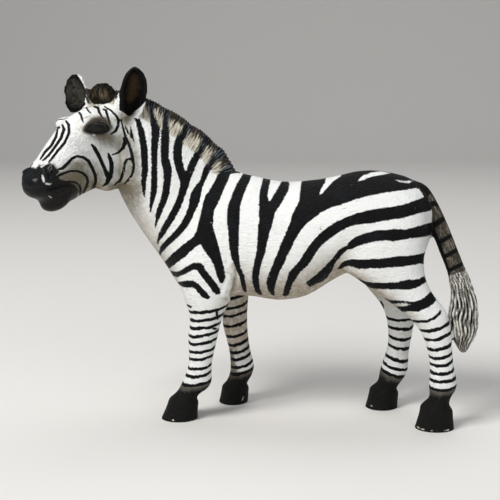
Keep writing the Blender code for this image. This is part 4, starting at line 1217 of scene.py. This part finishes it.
# tan for the painted shade under the belly and on the far foreleg
BELLY_SHADE_TAN = (0.31, 0.235, 0.142, 1)
LID_BROWN = (0.055, 0.042, 0.027, 1)
BLACK = (0.0030, 0.0031, 0.0035, 1)
# blue-black for the painted sheen on the black paint
BLUE_BLACK_SHEEN = (0.0070, 0.0088, 0.0110, 1)
OLIVE = (0.0090, 0.0055, 0.0018, 1)
HAIR_CREAM = (0.64, 0.60, 0.50, 1)
HAIR_BROWN = (0.115, 0.088, 0.055, 1)
HAIR_TIP = (0.030, 0.024, 0.018, 1)
HAIR_BLACK = (0.0060, 0.0065, 0.0080, 1)
HAIR_BLUE_GREY = (0.085, 0.105, 0.125, 1)
TUFT_GREY = (0.215, 0.206, 0.178, 1)
TUFT_WHITE = (0.72, 0.70, 0.65, 1)
TAIL_BROWN = (0.045, 0.038, 0.029, 1)
TAIL_PALE = (0.20, 0.18, 0.145, 1)
EAR_BROWN_DARK = (0.003, 0.0020, 0.0011, 1)
EAR_BROWN_LIGHT = (0.040, 0.025, 0.012, 1)
EAR_GREY = (0.050, 0.046, 0.038, 1)
FORELOCK_BROWN = (0.0080, 0.0062, 0.0038, 1)
FORELOCK_TAN = (0.15, 0.118, 0.073, 1)
CHARCOAL = (0.0075, 0.0074, 0.0070, 1)
SMOKE = (0.055, 0.044, 0.028, 1)
SMOKE_LIGHT = (0.22, 0.19, 0.14, 1)
DIRT = (0.22, 0.19, 0.14, 1)
ENAMEL_MIRRORING = 0.09
NOSE_VARNISH = 0.20
EYE_VARNISH = 0.40
VARNISH_ROUGHNESS = 0.16

finish = bpy.data.materials.new("painted_plastic")
finish.use_nodes = True
nodes = finish.node_tree.nodes
links = finish.node_tree.links
shader = nodes["Principled BSDF"]


def plug(socket, value):
    """Link a socket to a value's socket, or set it."""
    if isinstance(value, bpy.types.NodeSocket):
        links.new(value, socket)
    else:
        socket.default_value = value


def read(name):
    """Return the value of one of the skin's paints."""
    node = nodes.new("ShaderNodeAttribute")
    node.attribute_name = name
    return node.outputs["Fac"]


def calculate(operation, a, b=0.0, c=0.0):
    """Return the result of one sum."""
    node = nodes.new("ShaderNodeMath")
    node.operation = operation
    for socket, value in zip(node.inputs, (a, b, c)):
        plug(socket, value)
    return node.outputs[0]


def rise(value, low, high):
    """Return 0 below low, 1 above high and a smooth rise between."""
    node = nodes.new("ShaderNodeMapRange")
    node.interpolation_type = "SMOOTHSTEP"
    for name, part in (("Value", value), ("From Min", low), ("From Max", high)):
        plug(node.inputs[name], part)
    return node.outputs["Result"]


def grain(place, scale, detail=2.0, roughness=0.5):
    """Return noise about zero, with scale features to a millimetre."""
    node = nodes.new("ShaderNodeTexNoise")
    plug(node.inputs["Vector"], place)
    node.inputs["Scale"].default_value = scale
    node.inputs["Detail"].default_value = detail
    node.inputs["Roughness"].default_value = roughness
    return calculate("SUBTRACT", node.outputs["Fac"], 0.5)


def over(below, above, cover):
    """Return the colour below with the colour above painted over it where cover is 1."""
    node = nodes.new("ShaderNodeMix")
    node.data_type = "RGBA"
    for socket, value in ((node.inputs[0], cover), (node.inputs[6], below), (node.inputs[7], above)):
        plug(socket, value)
    return node.outputs[2]


def total(*values):
    """Return the values added up."""
    result = values[0]
    for value in values[1:]:
        result = calculate("ADD", result, value)
    return result


def times(a, b):
    """Return a times b."""
    return calculate("MULTIPLY", a, b)


def painted(name, low, high, *broken_by):
    """Return how much of a paint covers the skin, its edge broken by pairs of a grain and a strength."""
    return rise(total(read(name), *(times(noisy, strength) for noisy, strength in broken_by)), low, high)


place_node = nodes.new("ShaderNodeTexCoord")
in_millimetres = nodes.new("ShaderNodeVectorMath")
in_millimetres.operation = "SCALE"
in_millimetres.inputs["Scale"].default_value = 1 / MILLIMETRE
links.new(place_node.outputs["Object"], in_millimetres.inputs[0])
place = in_millimetres.outputs[0]
fur_way = nodes.new("ShaderNodeMapping")
fur_way.inputs["Rotation"].default_value = (0.0, math.radians(28), 0.0)
fur_way.inputs["Scale"].default_value = (0.5, 2.6, 2.6)
links.new(place, fur_way.inputs["Vector"])
fur_place = fur_way.outputs[0]
down_way = nodes.new("ShaderNodeMapping")
down_way.inputs["Scale"].default_value = (3.2, 3.2, 0.5)
links.new(place, down_way.inputs["Vector"])
comb_node = nodes.new("ShaderNodeAttribute")
comb_node.attribute_name = "comb"
comb_place = comb_node.outputs["Vector"]

coarse = grain(place, 0.22, 3.0)
medium = grain(place, 0.9, 3.0)
ragged = grain(place, 2.4, 3.0, 0.65)
fleck = grain(place, 1.5, 0.0)
fur = grain(fur_place, 1.0, 3.0, 0.65)
leg_hair = grain(down_way.outputs[0], 1.0, 2.0, 0.6)
strands = grain(comb_place, 2.6, 2.0, 0.55)
broad_strands = grain(comb_place, 1.1, 2.0, 0.5)

patchy = total(times(coarse, 1.2), times(medium, 0.6), times(ragged, 0.5))
colour = over(WHITE, CREAM, rise(patchy, 0.02, 0.75))
# painted shade: cream over the hollows
colour = over(colour, CREAM, times(painted("painted_hollow_shade", 0.05, 0.7), 0.8))
# painted shade: tan under the belly and on the far foreleg
colour = over(colour, BELLY_SHADE_TAN, times(read("painted_shade_tan"), rise(medium, -0.6, 0.2)))
# brown washes: airbrushing round the eyes and muzzle, painted shade on the cheeks, throat, jaw and far foreleg
washed_and_shaded = painted("brown_wash_and_shade", 0.0, 0.95, (medium, 0.35), (ragged, 0.4))
colour = over(colour, BROWN_WASH_AND_SHADE, times(washed_and_shaded, 0.92))
# painted shade: brown, deepest in the hollows
colour = over(colour, BROWN_WASH_AND_SHADE, times(painted("painted_hollow_shade", 0.45, 1.0), 0.4))

colour = over(colour, DIRT, times(painted("scuffs", -0.2, 0.5, (ragged, 3.0)), 0.7))
is_black = painted("black", -0.35, 0.4, (ragged, 3.0), (fur, 2.2))
is_line = painted("lines", -0.35, 0.4, (ragged, 1.2))
is_black = calculate("MAXIMUM", is_black, is_line)
# painted sheen: blue-black patches through the black stripes, and cream flecks
black_enamel = over(BLACK, BLUE_BLACK_SHEEN, rise(total(times(coarse, 1.3), times(fur, 1.6)), -0.1, 0.6))
black_enamel = over(black_enamel, CREAM, times(rise(fleck, 0.355, 0.375), 0.5))
colour = over(colour, black_enamel, is_black)

ring_away = times(calculate("PINGPONG", read("ring_place"), 0.5), read("ring_gap"))
ring_half = total(0.46, times(medium, 0.55), times(ragged, 0.60))
is_ring = rise(calculate("SUBTRACT", ring_half, ring_away), -0.08, 0.09)
smoked = painted("sock", -0.5, 0.3, (medium, 0.5), (leg_hair, 0.8))
colour = over(colour, over(SMOKE, SMOKE_LIGHT, rise(leg_hair, 0.0, 0.28)), times(smoked, 0.94))
colour = over(colour, BLACK, is_ring)
is_sock = painted("sock", 0.5, 2.3, (leg_hair, 2.4), (medium, 0.9))
charcoal = over(CHARCOAL, SMOKE, times(rise(total(medium, times(ragged, 0.7)), 0.12, 0.6), 0.5))
colour = over(colour, charcoal, is_sock)
is_chip = painted("chips", -0.3, 0.3, (ragged, 1.6))
colour = over(colour, CREAM, times(is_chip, is_sock))

is_muzzle = painted("muzzle", -1.3, 1.5, (ragged, 2.6), (medium, 1.2))
# painted sheen in blue-black on the nose pad, and olive brown on the lips
nose_black = over(over(BLACK, BLUE_BLACK_SHEEN, rise(medium, -0.15, 0.4)), OLIVE, read("olive"))
colour = over(colour, nose_black, is_muzzle)
is_nostril = painted("nostril", -1.2, 0.2)
colour = over(colour, BLACK, is_nostril)
colour = over(colour, LID_BROWN, times(painted("lid", -1.8, 1.4, (ragged, 1.2)), 0.85))
colour = over(colour, LID_BROWN, times(painted("eye", -4.2, -0.8, (ragged, 1.5)), 0.7))
is_eye = painted("eye", -0.9, 0.3)
colour = over(colour, BLACK, is_eye)
# painted highlights in white on the nose, lip and eye
is_painted_highlight = painted("painted_highlights", -0.4, 0.6, (ragged, 2.0))
colour = over(colour, WHITE, times(is_painted_highlight, 0.85))

streak = total(times(strands, 0.8), times(broad_strands, 0.4), times(read("ridge"), 0.07))
between_strands = total(strands, times(read("ridge"), -0.05))
pale_hair = over(HAIR_CREAM, HAIR_BROWN, times(rise(between_strands, 0.0, 0.16), 0.55))
pale_hair = over(pale_hair, HAIR_BROWN, times(rise(streak, -0.10, 0.12), painted("hair_tip", -0.2, 0.35)))
pale_hair = over(pale_hair, HAIR_TIP, painted("hair_tip", 0.16, 0.62, (streak, 1.7)))
dark_hair = over(HAIR_BLACK, HAIR_BLUE_GREY, times(rise(streak, -0.04, 0.14), painted("hair_tip", -0.1, 0.3)))
is_dark_hair = painted("black", -1.0, 1.6, (strands, 8.0), (ragged, 2.0))
mane_colour = over(pale_hair, dark_hair, is_dark_hair)
is_mane = painted("mane", 0.1, 0.95, (strands, 1.6))
colour = over(colour, mane_colour, is_mane)

forelock_light = times(rise(streak, -0.14, 0.14), painted("forelock_tan", -4.0, 3.0))
forelock_colour = over(FORELOCK_BROWN, FORELOCK_TAN, forelock_light)
colour = over(colour, forelock_colour, painted("forelock", 0.2, 0.8))

is_ear = painted("ear_black", -0.5, 0.5, (ragged, 1.6))
colour = over(colour, BLACK, is_ear)
is_brown = painted("ear_brown", -0.5, 6.5, (medium, 3.0), (ragged, 1.5))
colour = over(colour, over(EAR_BROWN_DARK, EAR_BROWN_LIGHT, is_brown), painted("ear_brown", -1.5, 1.5))
ear_lining = over(EAR_BROWN_DARK, EAR_GREY, rise(total(medium, times(ragged, 0.8)), -0.35, 0.2))
colour = over(colour, ear_lining, painted("ear_grey", -0.8, 1.0, (ragged, 1.5)))

tail_colour = over(TAIL_BROWN, TAIL_PALE, rise(total(streak, times(ragged, 0.5)), -0.05, 0.22))
tail_colour = over(tail_colour, BLACK, painted("tail_band", -0.6, 0.8, (ragged, 2.4)))
drybrushed = total(times(read("ridge"), 0.16), times(strands, 0.7))
tuft_colour = over(HAIR_BLACK, TUFT_GREY, rise(drybrushed, -0.16, -0.02))
tuft_colour = over(tuft_colour, TUFT_WHITE, rise(drybrushed, 0.03, 0.15))
tail_colour = over(tail_colour, tuft_colour, painted("tuft", 0.3, 0.6, (streak, 0.8)))
colour = over(colour, tail_colour, painted("tail", 0.3, 0.6))
links.new(colour, shader.inputs["Base Color"])

hairy = calculate("MAXIMUM", calculate("MAXIMUM", read("mane"), read("tail")), read("forelock"))
shine = total(0.52, times(medium, 0.14))
shine = total(shine, times(is_sock, 0.10), times(painted("mane", 0.3, 0.7), 0.05))
links.new(shine, shader.inputs["Roughness"])
shader.inputs["Specular IOR Level"].default_value = ENAMEL_MIRRORING
links.new(total(times(is_muzzle, NOSE_VARNISH), times(is_eye, EYE_VARNISH)), shader.inputs["Coat Weight"])
shader.inputs["Coat Roughness"].default_value = VARNISH_ROUGHNESS

height = total(times(fur, 0.44), times(ragged, 0.30), times(medium, 0.52), times(times(streak, hairy), 0.34))
height = total(height, times(is_black, 0.010))
relief_node = nodes.new("ShaderNodeBump")
relief_node.inputs["Distance"].default_value = MILLIMETRE
relief_node.inputs["Strength"].default_value = 1.0
links.new(height, relief_node.inputs["Height"])
links.new(relief_node.outputs["Normal"], shader.inputs["Normal"])

skin_mesh.transform(Matrix.Translation(-BOX_MIDDLE * MILLIMETRE))
skin_mesh.name = "zebra_painted"
skin_mesh.materials.clear()
skin_mesh.materials.append(finish)
skin_mesh.polygons.foreach_set("use_smooth", np.ones(len(skin_mesh.polygons), bool))
painted_zebra = bpy.data.objects.new("zebra_painted", skin_mesh)
bpy.context.scene.collection.objects.link(painted_zebra)
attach(painted_zebra, "root")
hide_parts("zebra")


# Studio: a plain pale sweep of paper under the figure, a soft light high at the front left, a weaker one at the
# right, one from above and behind, and an even sky.
SWEEP_HALF_WIDTH = 2.2
SWEEP_FRONT = -1.6
SWEEP_BEND_START = 0.9
SWEEP_RADIUS = 0.5
SWEEP_HEIGHT = 1.8
SWEEP_BEND_STEPS = 16
PAPER_ROUGHNESS = 0.9
SKY = (0.93, 0.96, 1.0, 1)
SKY_STRENGTH = 0.26
STUDIO_AIM = Vector((0.0, 0.0, 0.045))
PAPER = (0.68, 0.665, 0.64, 1)

profile = [(SWEEP_FRONT, 0.0), (SWEEP_BEND_START, 0.0)]
for turn in np.linspace(0, math.pi / 2, SWEEP_BEND_STEPS)[1:]:
    profile.append((SWEEP_BEND_START + SWEEP_RADIUS * math.sin(turn), SWEEP_RADIUS * (1 - math.cos(turn))))
profile.append((SWEEP_BEND_START + SWEEP_RADIUS, SWEEP_HEIGHT))
sweep_points = [(side * SWEEP_HALF_WIDTH, y, z) for y, z in profile for side in (-1, 1)]
sweep_faces = [(2 * k, 2 * k + 1, 2 * k + 3, 2 * k + 2) for k in range(len(profile) - 1)]
sweep_mesh = bpy.data.meshes.new("paper_sweep")
sweep_mesh.from_pydata(sweep_points, [], sweep_faces)
sweep_mesh.polygons.foreach_set("use_smooth", np.ones(len(sweep_faces), bool))
paper = bpy.data.materials.new("paper")
paper.use_nodes = True
paper_shader = paper.node_tree.nodes["Principled BSDF"]
paper_shader.inputs["Base Color"].default_value = PAPER
paper_shader.inputs["Roughness"].default_value = PAPER_ROUGHNESS
sweep_mesh.materials.append(paper)
sweep = bpy.data.objects.new("paper_sweep", sweep_mesh)
bpy.context.scene.collection.objects.link(sweep)


def hang_light(name, place, width, watts, tint):
    """Hang a square soft light that faces the figure."""
    light = bpy.data.lights.new(name, "AREA")
    light.shape = "SQUARE"
    light.size = width
    light.energy = watts
    light.color = tint
    lamp = bpy.data.objects.new(name, light)
    lamp.location = place
    lamp.rotation_euler = (STUDIO_AIM - Vector(place)).to_track_quat("-Z", "Y").to_euler()
    bpy.context.scene.collection.objects.link(lamp)


hang_light("key_light", (-0.42, -0.50, 0.72), 0.40, 8.8, (1.0, 0.99, 0.97))
hang_light("fill_light", (0.60, -0.75, 0.35), 0.80, 2.7, (0.97, 0.98, 1.0))
hang_light("top_light", (0.10, 0.35, 0.90), 0.60, 2.6, (1.0, 1.0, 1.0))
world = bpy.data.worlds.new("studio")
world.use_nodes = True
world.node_tree.nodes["Background"].inputs["Color"].default_value = SKY
world.node_tree.nodes["Background"].inputs["Strength"].default_value = SKY_STRENGTH
bpy.context.scene.world = world
bpy.context.scene.view_settings.view_transform = "Standard"
